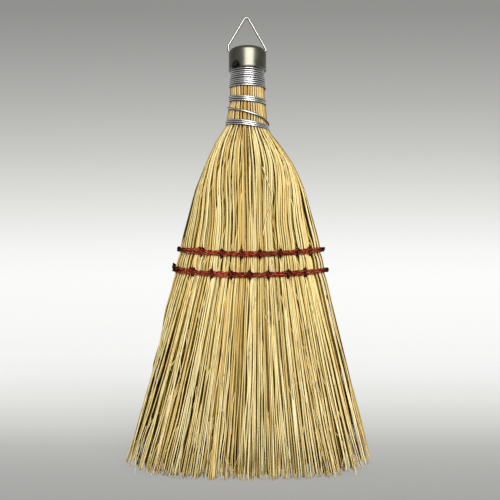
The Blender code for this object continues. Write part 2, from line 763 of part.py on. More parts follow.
def main():
    clear_scene()
    broom = make_collection("corn_whisk_broom")
    cutters = make_collection("cutters")

    straw = make_material("broomcorn", (0.62, 0.47, 0.20), 0.6)
    pith = make_material("stalk_pith", (0.66, 0.55, 0.30), 0.7)
    tinplate = make_material("tinplate", (0.62, 0.60, 0.52), 0.28, 1.0)
    bright_wire = make_material("bright_wire", (0.75, 0.76, 0.80), 0.25, 1.0)
    dark_iron = make_material("dark_iron", (0.03, 0.03, 0.03), 0.5, 1.0)
    red_twine = make_material("red_twine", (0.35, 0.03, 0.03), 0.6)

    axes = []
    stalks = make_stalks(broom, straw, axes)
    print_fibre_gap(axes)
    make_core_stalks(broom, pith)

    tack_hole = make_tack_hole(cutters)
    tack_bay = (TACK_AZIMUTH - math.pi) / math.pi * BAYS
    for bay in {int(tack_bay - 0.5), int(tack_bay + 0.5)}:
        cut(stalks[bay], tack_hole)
    make_cap(broom, cutters, tinplate, tack_hole)
    make_tack(broom, dark_iron)

    make_binding_wire(broom, bright_wire)
    make_stitching("upper_stitching", UPPER_ROW_HEIGHT, UPPER_KNOT_SHARES, broom, red_twine)
    make_stitching("lower_stitching", LOWER_ROW_HEIGHT, LOWER_KNOT_SHARES, broom, red_twine)
    make_ring(broom, bright_wire)


main()
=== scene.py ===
# %% [markdown]
# # A corn whisk broom
#
# A whisk broom is a bundle of broomcorn: each stalk is thin and stiff in the handle and splits into fine
# fibres further down. Wire holds the bundle together as a round handle, two rows of red twine press it
# flat, and a tinplate cap with a wire ring closes the top. The imported model already has these pieces at
# their real size. This lesson gives them their real surface: more than a thousand strands, round wire,
# twisted twine and drawn metal.
#
# First the imported model is loaded.

# %% Load the frame
import json
import math

import bmesh
import bpy
import numpy as np
from mathutils import Matrix, Vector


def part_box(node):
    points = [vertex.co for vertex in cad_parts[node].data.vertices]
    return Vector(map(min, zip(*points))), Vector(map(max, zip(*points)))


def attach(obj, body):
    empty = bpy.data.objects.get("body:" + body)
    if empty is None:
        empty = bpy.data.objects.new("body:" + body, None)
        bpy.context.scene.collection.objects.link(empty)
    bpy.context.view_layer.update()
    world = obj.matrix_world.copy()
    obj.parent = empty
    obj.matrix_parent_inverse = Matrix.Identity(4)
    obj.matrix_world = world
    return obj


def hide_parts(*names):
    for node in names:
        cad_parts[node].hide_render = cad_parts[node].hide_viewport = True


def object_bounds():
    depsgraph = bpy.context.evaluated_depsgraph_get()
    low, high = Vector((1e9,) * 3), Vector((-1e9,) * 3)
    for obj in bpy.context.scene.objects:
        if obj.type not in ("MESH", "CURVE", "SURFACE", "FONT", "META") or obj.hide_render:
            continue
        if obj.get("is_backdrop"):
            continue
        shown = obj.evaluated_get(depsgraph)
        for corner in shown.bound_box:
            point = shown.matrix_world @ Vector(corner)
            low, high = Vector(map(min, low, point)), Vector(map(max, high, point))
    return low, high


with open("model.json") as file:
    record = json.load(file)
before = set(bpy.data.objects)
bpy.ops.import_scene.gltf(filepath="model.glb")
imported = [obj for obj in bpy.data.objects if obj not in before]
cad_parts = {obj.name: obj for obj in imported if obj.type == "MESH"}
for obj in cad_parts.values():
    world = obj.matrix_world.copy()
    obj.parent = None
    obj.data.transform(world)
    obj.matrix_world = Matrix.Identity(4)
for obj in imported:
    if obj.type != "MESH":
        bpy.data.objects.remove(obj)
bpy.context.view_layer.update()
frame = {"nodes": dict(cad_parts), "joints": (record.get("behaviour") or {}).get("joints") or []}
MM = 0.001
SEED = 11
rng = np.random.default_rng(SEED)

# %% [markdown]
# ## Camera
#
# The photograph was taken level, a little above the middle of the brush and quite close, because the wire
# rings on the handle show as thin ellipses seen from below. A real camera would be described by its lens;
# here the field of view is worked out from how much of the broom's plane the square picture spans.

# %% Set the camera
CAMERA_DISTANCE = 400 * MM
CAMERA_HEIGHT = 139.2 * MM
CAMERA_SIDE = 1.6 * MM
PICTURE_SPAN = 315 * MM


def in_scene(name, data):
    """A new object, linked to the scene."""
    item = bpy.data.objects.new(name, data)
    bpy.context.scene.collection.objects.link(item)
    return item


camera_data = bpy.data.cameras.new("camera")
camera_data.sensor_fit = "HORIZONTAL"
camera_data.angle = 2 * math.atan(PICTURE_SPAN / 2 / CAMERA_DISTANCE)
camera = in_scene("camera", camera_data)
camera.location = (CAMERA_SIDE, -CAMERA_DISTANCE, CAMERA_HEIGHT)
camera.rotation_euler = (math.pi / 2, 0, 0)
bpy.context.scene.camera = camera
print("field of view:", round(math.degrees(camera_data.angle), 1), "degrees")

# %% [markdown]
# ## Small helpers
#
# Colours are written as sRGB hex values, as a paint program shows them, and a render needs them linear. A
# material is a tree of nodes, and one helper adds a node with its settings and its inputs, where an input
# is either a number or another node's output. The short ones after it make the nodes that most materials
# here share: a noise, a colour ramp, a product of two colours, a relief. A few more helpers work on many
# numbers at once.

# %% Colour and node helpers
def linear(hex_code):
    """Linear RGBA of an sRGB hex colour, by the sRGB standard's curve."""
    value = int(hex_code.lstrip("#"), 16)
    channels = [(value >> shift & 255) / 255 for shift in (16, 8, 0)]
    spread = [c / 12.92 if c <= 0.04045 else ((c + 0.055) / 1.055) ** 2.4 for c in channels]
    return (*spread, 1.0)


def fill(tree, node, inputs):
    """Set a node's inputs, each to a number or a colour, or to another node's output."""
    for name, value in inputs.items():
        if isinstance(value, bpy.types.NodeSocket):
            tree.links.new(value, node.inputs[name])
        else:
            node.inputs[name].default_value = value


def add_node(tree, kind, output, inputs, **settings):
    """Add a node and give back one of its outputs, or the node itself where output is None."""
    node = tree.nodes.new(kind)
    for name, value in settings.items():
        setattr(node, name, value)
    fill(tree, node, inputs)
    return node.outputs[output] if output else node


def object_place(tree):
    return add_node(tree, "ShaderNodeTexCoord", "Object", {})


def mark(tree, name):
    """What the mesh's own attribute of that name says at each point."""
    return add_node(tree, "ShaderNodeAttribute", "Fac", {}, attribute_name=name)


def stretched(tree, place, width, length):
    """Coordinates in which a noise of size 1 is as wide as width, and as long up the broom as length."""
    scale = (1 / width, 1 / width, 1 / length)
    return add_node(tree, "ShaderNodeMapping", "Vector", {"Vector": place, "Scale": scale})


def noise(tree, place, size, detail):
    inputs = {"Vector": place, "Scale": 1 / size, "Detail": detail}
    return add_node(tree, "ShaderNodeTexNoise", "Fac", inputs)


def remapped(tree, value, before=(0.0, 1.0), after=(0.0, 1.0)):
    """A value moved from one range to another."""
    limits = zip(("From Min", "From Max", "To Min", "To Max"), (*before, *after))
    return add_node(tree, "ShaderNodeMapRange", "Result", {"Value": value, **dict(limits)})


def maths(tree, operation, *values):
    return add_node(tree, "ShaderNodeMath", "Value", dict(enumerate(values)), operation=operation)


def colour_ramp(tree, value, *stops):
    """The colour that a ramp has at a value. Each stop is a place on the ramp and an sRGB colour."""
    node = add_node(tree, "ShaderNodeValToRGB", None, {"Fac": value})
    elements = node.color_ramp.elements
    for order, (place, colour) in enumerate(stops):
        stop = elements[order] if order < 2 else elements.new(place)
        stop.position = place
        stop.color = linear(colour)
    return node.outputs["Color"]


def multiplied(tree, first, second, share=1.0):
    """One colour multiplied by a share of another."""
    inputs = {"Factor": share, "A": first, "B": second}
    return add_node(tree, "ShaderNodeMix", "Result", inputs, data_type="RGBA", blend_type="MULTIPLY")


def relief(tree, height, depth, strength=1.0):
    inputs = {"Height": height, "Distance": depth, "Strength": strength}
    return add_node(tree, "ShaderNodeBump", "Normal", inputs)


def new_material(name, roughness=0.5, metallic=0.0):
    """A material with its tree and its main shader, which the finish is then linked to."""
    material = bpy.data.materials.new(name)
    material.use_nodes = True
    tree = material.node_tree
    shader = tree.nodes["Principled BSDF"]
    fill(tree, shader, {"Roughness": roughness, "Metallic": metallic})
    return material, tree, shader


def set_surface(shader, colour, roughness=None, normal=None, gloss=None):
    """Give the main shader its colour, and whatever else the material has."""
    given = {"Base Color": colour, "Roughness": roughness, "Normal": normal, "Specular IOR Level": gloss}
    fill(shader.id_data, shader, {name: value for name, value in given.items() if value is not None})


# %% Number and mesh helpers
SMALLEST = 0.00001


def kept_in(values):
    """Values, with those under 0 raised to 0 and those over 1 lowered to 1."""
    return np.clip(values, 0.0, 1.0)


def between(first, second, share):
    return first * (1 - share) + second * share


def hill(z, height, reach):
    """1 at a height, and falling off to both sides of it."""
    return np.exp(-(((z - height) / reach) ** 2))


def unit(vectors):
    """The same directions, one unit long."""
    return vectors / np.maximum(np.linalg.norm(vectors, axis=-1, keepdims=True), SMALLEST)


def run_along(points):
    """How far along a line each of its points is."""
    return np.concatenate([[0.0], np.cumsum(np.linalg.norm(np.diff(points, axis=0), axis=1))])


def mesh_of(bm, name):
    mesh = bpy.data.meshes.new(name)
    bm.to_mesh(mesh)
    bm.free()
    return mesh


# %% [markdown]
# ## Tubes
#
# Straw, wire and twine are all long and round. A tube can be a bevelled curve, but a thousand curves are
# slow, and a curve gives no say in what each point carries. So a flat grid is rolled up into one straight
# tube. Copies of it are then laid along their paths by moving each ring to its place, turned so that the
# tube never twists more than its path does.

# %% Straight tube and its copies along paths
WELD = 0.01 * MM
UNUSED_WAY = (0.01, 1.0, 0.01)
CURVE_STEPS = 8


def straight_tube(rings, sides):
    """A closed tube one unit long up Z, rolled up from a flat grid."""
    bm = bmesh.new()
    bmesh.ops.create_grid(bm, x_segments=sides, y_segments=rings - 1, size=0.5)
    for vert in bm.verts:
        angle = math.tau * vert.co.x
        vert.co = (math.cos(angle), math.sin(angle), vert.co.y + 0.5)
    bmesh.ops.remove_doubles(bm, verts=bm.verts, dist=WELD)
    open_edges = [edge for edge in bm.edges if edge.is_boundary]
    bmesh.ops.holes_fill(bm, edges=open_edges, sides=sides)
    bmesh.ops.recalc_face_normals(bm, faces=bm.faces)
    return mesh_of(bm, "straight_tube")


def path_frames(paths):
    """Two directions across each path, carried along without twist. No path starts in UNUSED_WAY."""
    tangents = unit(np.gradient(paths, axis=1))
    across = np.empty_like(tangents)
    across[:, 0] = unit(np.cross(tangents[:, 0], UNUSED_WAY))
    for k in range(1, paths.shape[1]):
        carried = across[:, k - 1]
        across[:, k] = unit(carried - (carried * tangents[:, k]).sum(1, keepdims=True) * tangents[:, k])
    return across, np.cross(tangents, across)


def even_path(points, step):
    """Points a step apart along a smooth curve, a Catmull-Rom spline, through the given ones."""
    rough = []
    padded = [points[0], *points, points[-1]]
    for a, b, c, d in zip(padded, padded[1:], padded[2:], padded[3:]):
        for k in range(CURVE_STEPS):
            t = k / CURVE_STEPS
            bend = (2 * a - 5 * b + 4 * c - d) * t**2 + (3 * b - a - 3 * c + d) * t**3
            rough.append(tuple(b + ((c - a) * t + bend) / 2))
    rough = np.array([*rough, tuple(points[-1])])
    lengths = run_along(rough)
    wanted = np.linspace(0.0, lengths[-1], round(lengths[-1] / step))
    return np.stack([np.interp(wanted, lengths, rough[:, axis]) for axis in range(3)], axis=1)


def tubes_along(name, *batches, sides, marks):
    """One mesh with a tube along each path. A batch is its paths, their radius or the radii at their points,
    and values of its own for each path. marks turns places, directions and values into attributes."""
    bm = bmesh.new()
    places, values = [], {}
    for paths, radii, *own in batches:
        count, rings = paths.shape[:2]
        radii = np.broadcast_to(radii, (count, rings))
        template = straight_tube(rings, sides)
        for _ in range(count):
            bm.from_mesh(template)
        local = np.empty(len(template.vertices) * 3)
        template.vertices.foreach_get("co", local)
        bpy.data.meshes.remove(template)
        local = local.reshape(-1, 3)
        ring = np.rint(local[:, 2] * (rings - 1)).astype(int)
        across, beside = path_frames(paths)
        out = across[:, ring] * local[:, 0, None] + beside[:, ring] * local[:, 1, None]
        middles = paths[:, ring]
        places.append((middles + radii[:, ring, None] * out).reshape(-1, 3))
        own = [np.repeat(value[:, None], len(ring), axis=1) for value in own]
        for label, found in marks(middles, out, *own).items():
            values.setdefault(label, []).append(found.ravel())
    mesh = mesh_of(bm, name)
    mesh.vertices.foreach_set("co", np.concatenate(places).astype(np.float32).ravel())
    for label, parts in values.items():
        attribute = mesh.attributes.new(label, "FLOAT", "POINT")
        attribute.data.foreach_set("value", np.concatenate(parts).astype(np.float32))
    mesh.shade_smooth()
    mesh.update()
    return mesh


def add_piece(mesh, material, body, node):
    """Put a mesh in the scene, on its body, in place of the model's node that it stands for."""
    piece = in_scene(mesh.name, mesh)
    mesh.materials.append(material)
    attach(piece, body)
    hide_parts(node)


# %% [markdown]
# ## The shape of the bundle
#
# Every strand follows the bundle's shape. In the handle the bundle is round, at the shoulder it opens
# into a flat fan, and below the stitches its sides are straight. A few heights with their half width and
# half depth say this, rounded off where they meet. The wire and the twine then press the bundle in: each
# press has a height, a reach and a depth. The real fan isn't quite straight under its handle, so its
# middle leans a little to the right. The neck is a little lower on the right, and the outline there is
# skewed with it.

# %% Shape of the bundle, in millimetres: height, half width, half depth
OUTLINE = (
    (262.0, 10.2, 10.2),
    (256.0, 9.6, 9.6),
    (250.0, 9.5, 9.5),
    (240.5, 10.6, 10.2),
    (237.0, 11.4, 11.2),
    (227.0, 11.7, 11.4),
    (222.0, 12.9, 12.4),
    (217.0, 12.8, 12.4),
    (213.0, 15.0, 12.6),
    (205.5, 20.7, 12.6),
    (193.0, 28.3, 12.4),
    (177.0, 35.2, 12.1),
    (149.0, 43.1, 11.8),
    (120.0, 49.5, 11.9),
    (0.0, 79.5, 17.4),
)
ROUNDING = 4.0
PRESSED = (
    (233.0, 2.4, 0.95),
    (217.2, 2.6, 0.45),
    (137.4, 2.8, 0.6),
    (124.6, 2.8, 0.6),
)
LEAN = ((0.0, 0.5), (50.0, 1.0), (105.0, 1.6), (140.0, 2.3), (190.0, 1.6), (216.0, 0.0))
HEIGHT_STEP = 0.5
HEIGHTS = np.arange(-10.0, 270.0, HEIGHT_STEP)
NECK_HEIGHT = 216.0 * MM
NECK_SKEW = 1.7 * MM
NECK_SKEW_REACH = 22 * MM


def softened(values, reach):
    """Values smoothed over as many neighbours as reach says to either side."""
    window = np.hanning(2 * reach + 1)
    return np.convolve(np.pad(values, reach, mode="edge"), window / window.sum(), mode="valid")


def rounded_off(column):
    """Values at every step of height, from the outline's straight stretches."""
    points = np.array(OUTLINE)[::-1]
    soft = softened(np.interp(HEIGHTS, points[:, 0], points[:, column]), int(ROUNDING / HEIGHT_STEP))
    for height, reach, press in PRESSED:
        soft = soft - press * hill(HEIGHTS, height, reach)
    return soft * MM


WIDTHS, DEPTHS = rounded_off(1), rounded_off(2)


def half_width(z):
    return np.interp(z, HEIGHTS * MM, WIDTHS)


def half_depth(z):
    return np.interp(z, HEIGHTS * MM, DEPTHS)


def by_height(z, table):
    """Values at heights z, from a table of heights in millimetres and values."""
    return np.interp(z / MM, *np.array(table).T)


def middle(z):
    """How far the bundle's middle leans to the right."""
    return by_height(z, LEAN) * MM


def skewed_at_neck(z, across):
    """The height in the outline for a height on the broom. across is -1 on the left and 1 on the right."""
    return z + NECK_SKEW * across * hill(z, NECK_HEIGHT, NECK_SKEW_REACH)


def away_from_middle(x, y, z):
    """The direction straight out of the brush, for places x beside its middle."""
    return unit(np.stack([x / half_width(z) ** 2, y / half_depth(z) ** 2, np.zeros_like(x)], axis=-1))


ROWS = (
    (136.7 * MM, np.array((-0.68, -0.40, -0.13, 0.12, 0.40, 0.64, 0.81))),
    (123.9 * MM, np.array((-0.75, -0.50, -0.25, -0.01, 0.23, 0.48, 0.71))),
)
ROW_SMILE = 3.0 * MM
KNOT_PART = 0.65 * MM
KNOT_REACH = 3.0 * MM
KNOT_TALL = 7.0 * MM
KNOT_PINCH_SHARE = 0.08


def row_height(row, share):
    return ROWS[row][0] + ROW_SMILE * share * share


def from_knots(row, x, z):
    """How far places are beside the row's nearest knot, and how near in height, from 0 to 1."""
    knots = ROWS[row][1]
    wide = half_width(z)
    share = (x - middle(z)) / wide
    knot = knots[np.abs(share[..., None] - knots).argmin(-1)]
    near = kept_in(1.0 - np.abs(z - row_height(row, knot)) / KNOT_TALL)
    return (share - knot) * wide, near


def parted_at_knots(x, y, z):
    """Push straw away from the places where the twine goes through, and press it in there."""
    for row in range(len(ROWS)):
        off, near = from_knots(row, x, z)
        close = kept_in(1.0 - np.abs(off) / KNOT_REACH) * near
        x = x + np.sign(off) * KNOT_PART * close
        y = y * (1.0 - KNOT_PINCH_SHARE * close)
    return x, y


# %% [markdown]
# ## Stalks
#
# Thick stalks stand side by side round the handle, where the wire shows them, and thinner ones fill the
# inside. A sunflower's seed pattern fills a circle without a grid: each next point turns by the golden
# angle and moves out with the square root of its number. A stalk keeps its place across the bundle while
# the bundle changes shape around it. On the rim each strand has a rank, its number in the order round the
# brush. The strands that stand at a height share the rim evenly there, so the stalks move apart where
# fibres come up between them.

# %% Places of the stalks
OUTER_STALKS = 44
INNER_STALKS = 240
INNER_SHARE = 0.88
INNER_DRIFT = 0.045
STALK_TOP = 260.5 * MM
ROW_SHAPE = (47.0, 12.0)
RIM_STEPS = 720
RIM_DEPTH = (0.96, 1.0)
UNDER_DEPTH = (0.80, 0.88)
RIM_JITTER = 0.30
RANKS_A_STALK = 6
RIM_STRANDS = RANKS_A_STALK * OUTER_STALKS
OUTER_RANKS = np.arange(0, RIM_STRANDS, RANKS_A_STALK)
FIRST_RANKS = OUTER_RANKS + RANKS_A_STALK // 2
LATER_AT_ROWS = 74


def sunflower(count):
    order = np.arange(count) + 0.5
    turn = order * math.pi * (3.0 - math.sqrt(5.0))
    out = np.sqrt(order / count)
    return np.stack([out * np.cos(turn), out * np.sin(turn)], axis=1)


def inside_circle(places):
    reach = np.linalg.norm(places, axis=-1, keepdims=True)
    return places / np.maximum(1.0, reach)


def on_round_rim(shares):
    """Places round the handle: a share of 0 is on the right, 0.25 behind, 0.5 on the left, 0.75 in front."""
    return np.stack([np.cos(math.tau * shares), np.sin(math.tau * shares)], axis=1)


def on_oval_rim(shares, depth_shares):
    """The same shares, evenly spaced along the oval that the bundle is at the rows."""
    angle = np.linspace(0.0, math.tau, RIM_STEPS + 1)
    oval = np.stack([ROW_SHAPE[0] * np.cos(angle), ROW_SHAPE[1] * np.sin(angle)], axis=1)
    run = run_along(oval)
    found = np.interp(shares % 1.0 * run[-1], run, angle)
    return np.stack([np.cos(found), np.sin(found)], axis=1) * depth_shares[:, None]


def eased(z, high, low):
    share = kept_in((high - z) / (high - low))
    return share * share * (3.0 - 2.0 * share)


taken_ranks = np.concatenate([OUTER_RANKS, FIRST_RANKS])
later_ranks = rng.permutation(np.setdiff1d(np.arange(RIM_STRANDS), taken_ranks))
row_ranks = np.sort(np.concatenate([taken_ranks, later_ranks[:LATER_AT_ROWS]]))


def evened_out(ranks, present):
    """Shares round the rim for ranks, when only the ranks that are present stand there, evenly spaced."""
    even = (np.arange(len(present)) + 0.5) / len(present)
    around = np.concatenate([present - RIM_STRANDS, present, present + RIM_STRANDS])
    return np.interp(ranks, around, np.concatenate([even - 1, even, even + 1]))


def rim_places(ranks, depths):
    """Places at the neck, at the rows and at the tips for strands on the rim, or a little under it."""
    count = len(ranks)
    neck = evened_out(ranks, OUTER_RANKS) + rng.normal(0, RIM_JITTER / 2, count) / OUTER_STALKS
    rows = evened_out(ranks, row_ranks) + rng.normal(0, RIM_JITTER, count) / len(row_ranks)
    tips = (ranks + 0.5 + rng.normal(0, RIM_JITTER, count)) / RIM_STRANDS
    at_rows = on_oval_rim(rows, rng.uniform(*depths, count))
    at_tips = on_oval_rim(tips, rng.uniform(*depths, count))
    return np.stack([on_round_rim(neck), at_rows, at_tips])


def inner_places(at_neck):
    at_rows = inside_circle(at_neck + rng.normal(0, INNER_DRIFT / 2, at_neck.shape))
    at_tips = inside_circle(at_rows + rng.normal(0, INNER_DRIFT, at_neck.shape))
    return np.stack([at_neck, at_rows, at_tips])


outer_places = rim_places(OUTER_RANKS, RIM_DEPTH)
core_places = inner_places(sunflower(INNER_STALKS) * INNER_SHARE)
print(OUTER_STALKS + INNER_STALKS, "stalks")

# %% [markdown]
# Every strand also has slow waves of its own. They are nothing at the neck and under the twine, where the
# straw is held, and grow towards the tips. The tips are trimmed nearly level, a little higher at the two
# corners. The points of a strand stand close together near the rows, where the stitches part the straw.
# Tables of two columns give a height in millimetres and what holds there, such as a radius.

# %% Paths of the strands
TIP_RAGGED = 4.5 * MM
CORNER_RISE = 6.0 * MM
CORNER_START = 0.5
WAVE_LENGTHS = (30 * MM, 110 * MM)
WAVE = 0.40 * MM
DEPTH_WAVE_SHARE = 0.6
HELD_SHARE = 0.7
HELD_REACH = 10 * MM
FAN_FORMED = 150 * MM
SPREAD_START = 124 * MM
STALK_VARIETY = (0.82, 1.18)
OUTER_RADII = ((0, 0.54), (120, 0.60), (180, 0.64), (205, 0.64), (262, 0.68))
INNER_RADII = ((0, 0.56), (120, 0.64), (190, 0.64), (216, 0.60), (262, 0.56))
LEVEL_STEPS = ((260.5, 205, 5.5), (205, 152, 6.5), (152, 108, 2.2), (108, 0, 7.5))


def level_shares(highest):
    """How far down a strand its points are, from 0 at the top to 1 at the tip."""
    heights = np.concatenate([np.arange(high, low, -step) for high, low, step in LEVEL_STEPS] + [[0.0]])
    heights = heights[heights < highest]
    return np.concatenate([[0.0], 1.0 - heights / highest])


def tip_heights(share):
    corner = CORNER_RISE * (np.clip(np.abs(share) - CORNER_START, 0.0, None) / (1.0 - CORNER_START)) ** 2
    return corner + TIP_RAGGED * rng.random(len(share)) ** 2


def wander(z):
    """Waves across and in depth for paths at heights z."""
    shape = (2, len(z), 1)
    length = rng.uniform(*WAVE_LENGTHS, shape)
    start = rng.uniform(0, math.tau, shape)
    held = 1.0
    for height, _ in ROWS:
        held = held - HELD_SHARE * hill(z, height, HELD_REACH)
    free = kept_in((NECK_HEIGHT - z) / NECK_HEIGHT) * kept_in(held)
    return rng.normal(0, WAVE, shape) * free * np.sin(math.tau * z / length + start)


def place_at(places, z):
    """Places across the bundle at heights z, from those at the neck, the rows and the tips."""
    to_rows = eased(z, NECK_HEIGHT, FAN_FORMED)[..., None]
    to_tips = kept_in((SPREAD_START - z) / SPREAD_START)[..., None]
    at_neck, at_rows, at_tips = places[:, :, None]
    return between(between(at_neck, at_rows, to_rows), at_tips, to_tips)


def laid_in_bundle(place, z, radii):
    """Paths from places across the bundle, waves and the knots."""
    skewed = skewed_at_neck(z, place[..., 0])
    wave = wander(z)
    x = middle(z) + (half_width(skewed) - radii) * place[..., 0] + wave[0]
    y = (half_depth(skewed) - radii) * place[..., 1] + wave[1] * DEPTH_WAVE_SHARE
    x, y = parted_at_knots(x, y, z)
    return np.stack([x, y, z], axis=2)


def stalk_paths(places, table):
    count = places.shape[1]
    ends = tip_heights(places[2, :, 0])
    z = STALK_TOP + (ends[:, None] - STALK_TOP) * level_shares(STALK_TOP / MM)
    radii = by_height(z, table) * MM * rng.uniform(*STALK_VARIETY, (count, 1))
    return laid_in_bundle(place_at(places, z), z, radii), radii


outer_stalks, outer_radii = stalk_paths(outer_places, OUTER_RADII)
core_stalks, core_radii = stalk_paths(core_places, INNER_RADII)
print("stalk paths:", outer_stalks.shape, core_stalks.shape)

# %% [markdown]
# ## Fibres
#
# Below the shoulder each stalk splits into finer fibres. The brush gets wider all the way down, so the
# stalks on its rim move apart, and fibres come up between them from inside. Each starts at its own
# height, and more start where the brush widens faster, so the strands seen from outside stay about as
# wide all the way down. A second layer lies just under the rim, so that a gap shows straw and not the
# dark inside. Some fibres inside the brush end early.

# %% Paths of the fibres
FIBRE_SPLIT = 26 * MM
FIBRE_TAPER = 22 * MM
FIBRE_ROOT_SHARE = 0.25
FIBRE_TIP_SHARE = 0.6
FIBRE_VARIETY = (0.75, 1.25)
THICK_FIBRE = 0.60 * MM
FINE_FIBRE = 0.54 * MM
FIBRES_A_STALK = 2
INNER_SPREAD = 0.09
COMES_FROM = 0.72
FIRST_STARTS = (206 * MM, 228 * MM)
THINNING = ((0, 0.86), (60, 0.90), (120, 1.0))
LATER_STARTS = (
    (170 * MM, 213 * MM, 44),
    (158 * MM, 170 * MM, 30),
    (130 * MM, 158 * MM, 30),
    (85 * MM, 130 * MM, 40),
    (40 * MM, 85 * MM, 32),
)
UNDER_STARTS = (
    (214 * MM, 232 * MM, 88),
    (130 * MM, 170 * MM, 44),
    (60 * MM, 125 * MM, 44),
)
INNER_STARTS = (100 * MM, 205 * MM)
SHORT_SHARE = 0.15
SHORT_BY = (4 * MM, 40 * MM)


def fibre_paths(parent, own, starts, radius, short_share):
    """Fibres that leave their parents' places at their starts for places of their own."""
    count = own.shape[1]
    first = rng.uniform(*starts, (count, 1))
    ends = tip_heights(own[2, :, 0])[:, None]
    ends = ends + (rng.random((count, 1)) < short_share) * rng.uniform(*SHORT_BY, (count, 1))
    z = first + (ends - first) * level_shares(sum(starts) / 2 / MM)
    gone = eased(z, first, first - FIBRE_SPLIT)[..., None]
    root = np.clip((first - z) / FIBRE_TAPER, FIBRE_ROOT_SHARE, 1.0)
    tip = np.clip((z - ends) / FIBRE_TAPER, FIBRE_TIP_SHARE, 1.0)
    radii = radius * root * tip * rng.uniform(*FIBRE_VARIETY, (count, 1)) * by_height(z, THINNING)
    place = between(place_at(parent, z), place_at(own, z), gone)
    return laid_in_bundle(place, z, radii), radii


def comes_up(ranks, depths, starts, radius):
    """Fibres on the rim, or just under it, that come up from inside at their own places round it."""
    own = rim_places(ranks, depths)
    return fibre_paths(own * COMES_FROM, own, starts, radius, 0.0)


rim_fibres = [comes_up(FIRST_RANKS, RIM_DEPTH, FIRST_STARTS, THICK_FIBRE)]
taken = 0
for low, high, count in LATER_STARTS:
    mine = later_ranks[taken:taken + count]
    rim_fibres.append(comes_up(mine, RIM_DEPTH, (low, high), FINE_FIBRE))
    taken += count
for low, high, count in UNDER_STARTS:
    mine = (np.arange(count) + rng.uniform(-RIM_JITTER, RIM_JITTER, count)) / count * RIM_STRANDS
    rim_fibres.append(comes_up(mine, UNDER_DEPTH, (low, high), THICK_FIBRE))

core_owner = np.repeat(np.arange(INNER_STALKS), FIBRES_A_STALK)
core_spread = rng.normal(0, INNER_SPREAD, (len(core_owner), 2))
core_own = np.stack([inside_circle(place[core_owner] + core_spread) for place in core_places])
core_fibres, core_fibre_radii = fibre_paths(
    core_places[:, core_owner], core_own, INNER_STARTS, FINE_FIBRE, SHORT_SHARE
)
print(sum(len(paths) for paths, _ in rim_fibres), "fibres on the rim,", len(core_fibres), "inside")

# %% [markdown]
# Fine hairs are left where fibres have frayed. They lie loose on the brush, mostly low down, each with a
# slight curl and a direction of its own. One pale strand also lies in a wave over the others, right of
# the middle.

# %% Hairs and the stray strand
HAIRS = 170
HAIR_POINTS = 9
HAIR_LENGTHS = (4 * MM, 18 * MM)
HAIR_RADII = (0.14 * MM, 0.26 * MM)
HAIR_LEAN = 0.16
HAIR_CURL = 0.3 * MM
HAIR_HIGHEST = 130 * MM
HAIR_OFF = 0.35 * MM
HAIR_ACROSS = 0.93
HAIR_LOW_POWER = 1.6
HAIR_SPLAY = 0.25
HAIR_WAVES = (0.5, 1.5)
EDGE_LIMIT = 0.995
STRAY_OFF = 0.3 * MM
STRAY = (
    (9.3, 190.0),
    (12.2, 181.5),
    (14.6, 175.0),
    (15.2, 171.0),
    (14.2, 166.0),
    (12.4, 161.0),
    (11.0, 156.0),
    (9.6, 148.0),
)


def hair_paths():
    """Short loose fibres on the front and the back."""
    shape = (HAIRS, 1)
    share = np.linspace(-0.5, 0.5, HAIR_POINTS)
    across = rng.uniform(-HAIR_ACROSS, HAIR_ACROSS, shape)
    length = rng.uniform(*HAIR_LENGTHS, shape)
    level = length / 2 + HAIR_HIGHEST * rng.random(shape) ** HAIR_LOW_POWER
    lean = rng.normal(0, HAIR_LEAN, shape) + across * HAIR_SPLAY
    z = level - length * share
    curl = rng.normal(0, HAIR_CURL, shape)
    curl = curl * np.cos(math.tau * share * rng.uniform(*HAIR_WAVES, shape))
    x = middle(level) + half_width(level) * across + length * share * lean + curl
    side = np.where(rng.random(shape) < 0.5, -1.0, 1.0)
    off = np.clip((x - middle(z)) / half_width(z), -EDGE_LIMIT, EDGE_LIMIT)
    y = side * (half_depth(z) * np.sqrt(1.0 - off**2) + HAIR_OFF * rng.random(shape))
    return np.stack([x, y, z], axis=2), rng.uniform(*HAIR_RADII, shape)


def stray_path():
    x, z = np.array(STRAY).T * MM
    y = -half_depth(z) * np.sqrt(1.0 - ((x - middle(z)) / half_width(z)) ** 2) - STRAY_OFF
    return np.stack([x, y, z], axis=1)


hairs, hair_radii = hair_paths()
print(HAIRS, "hairs")
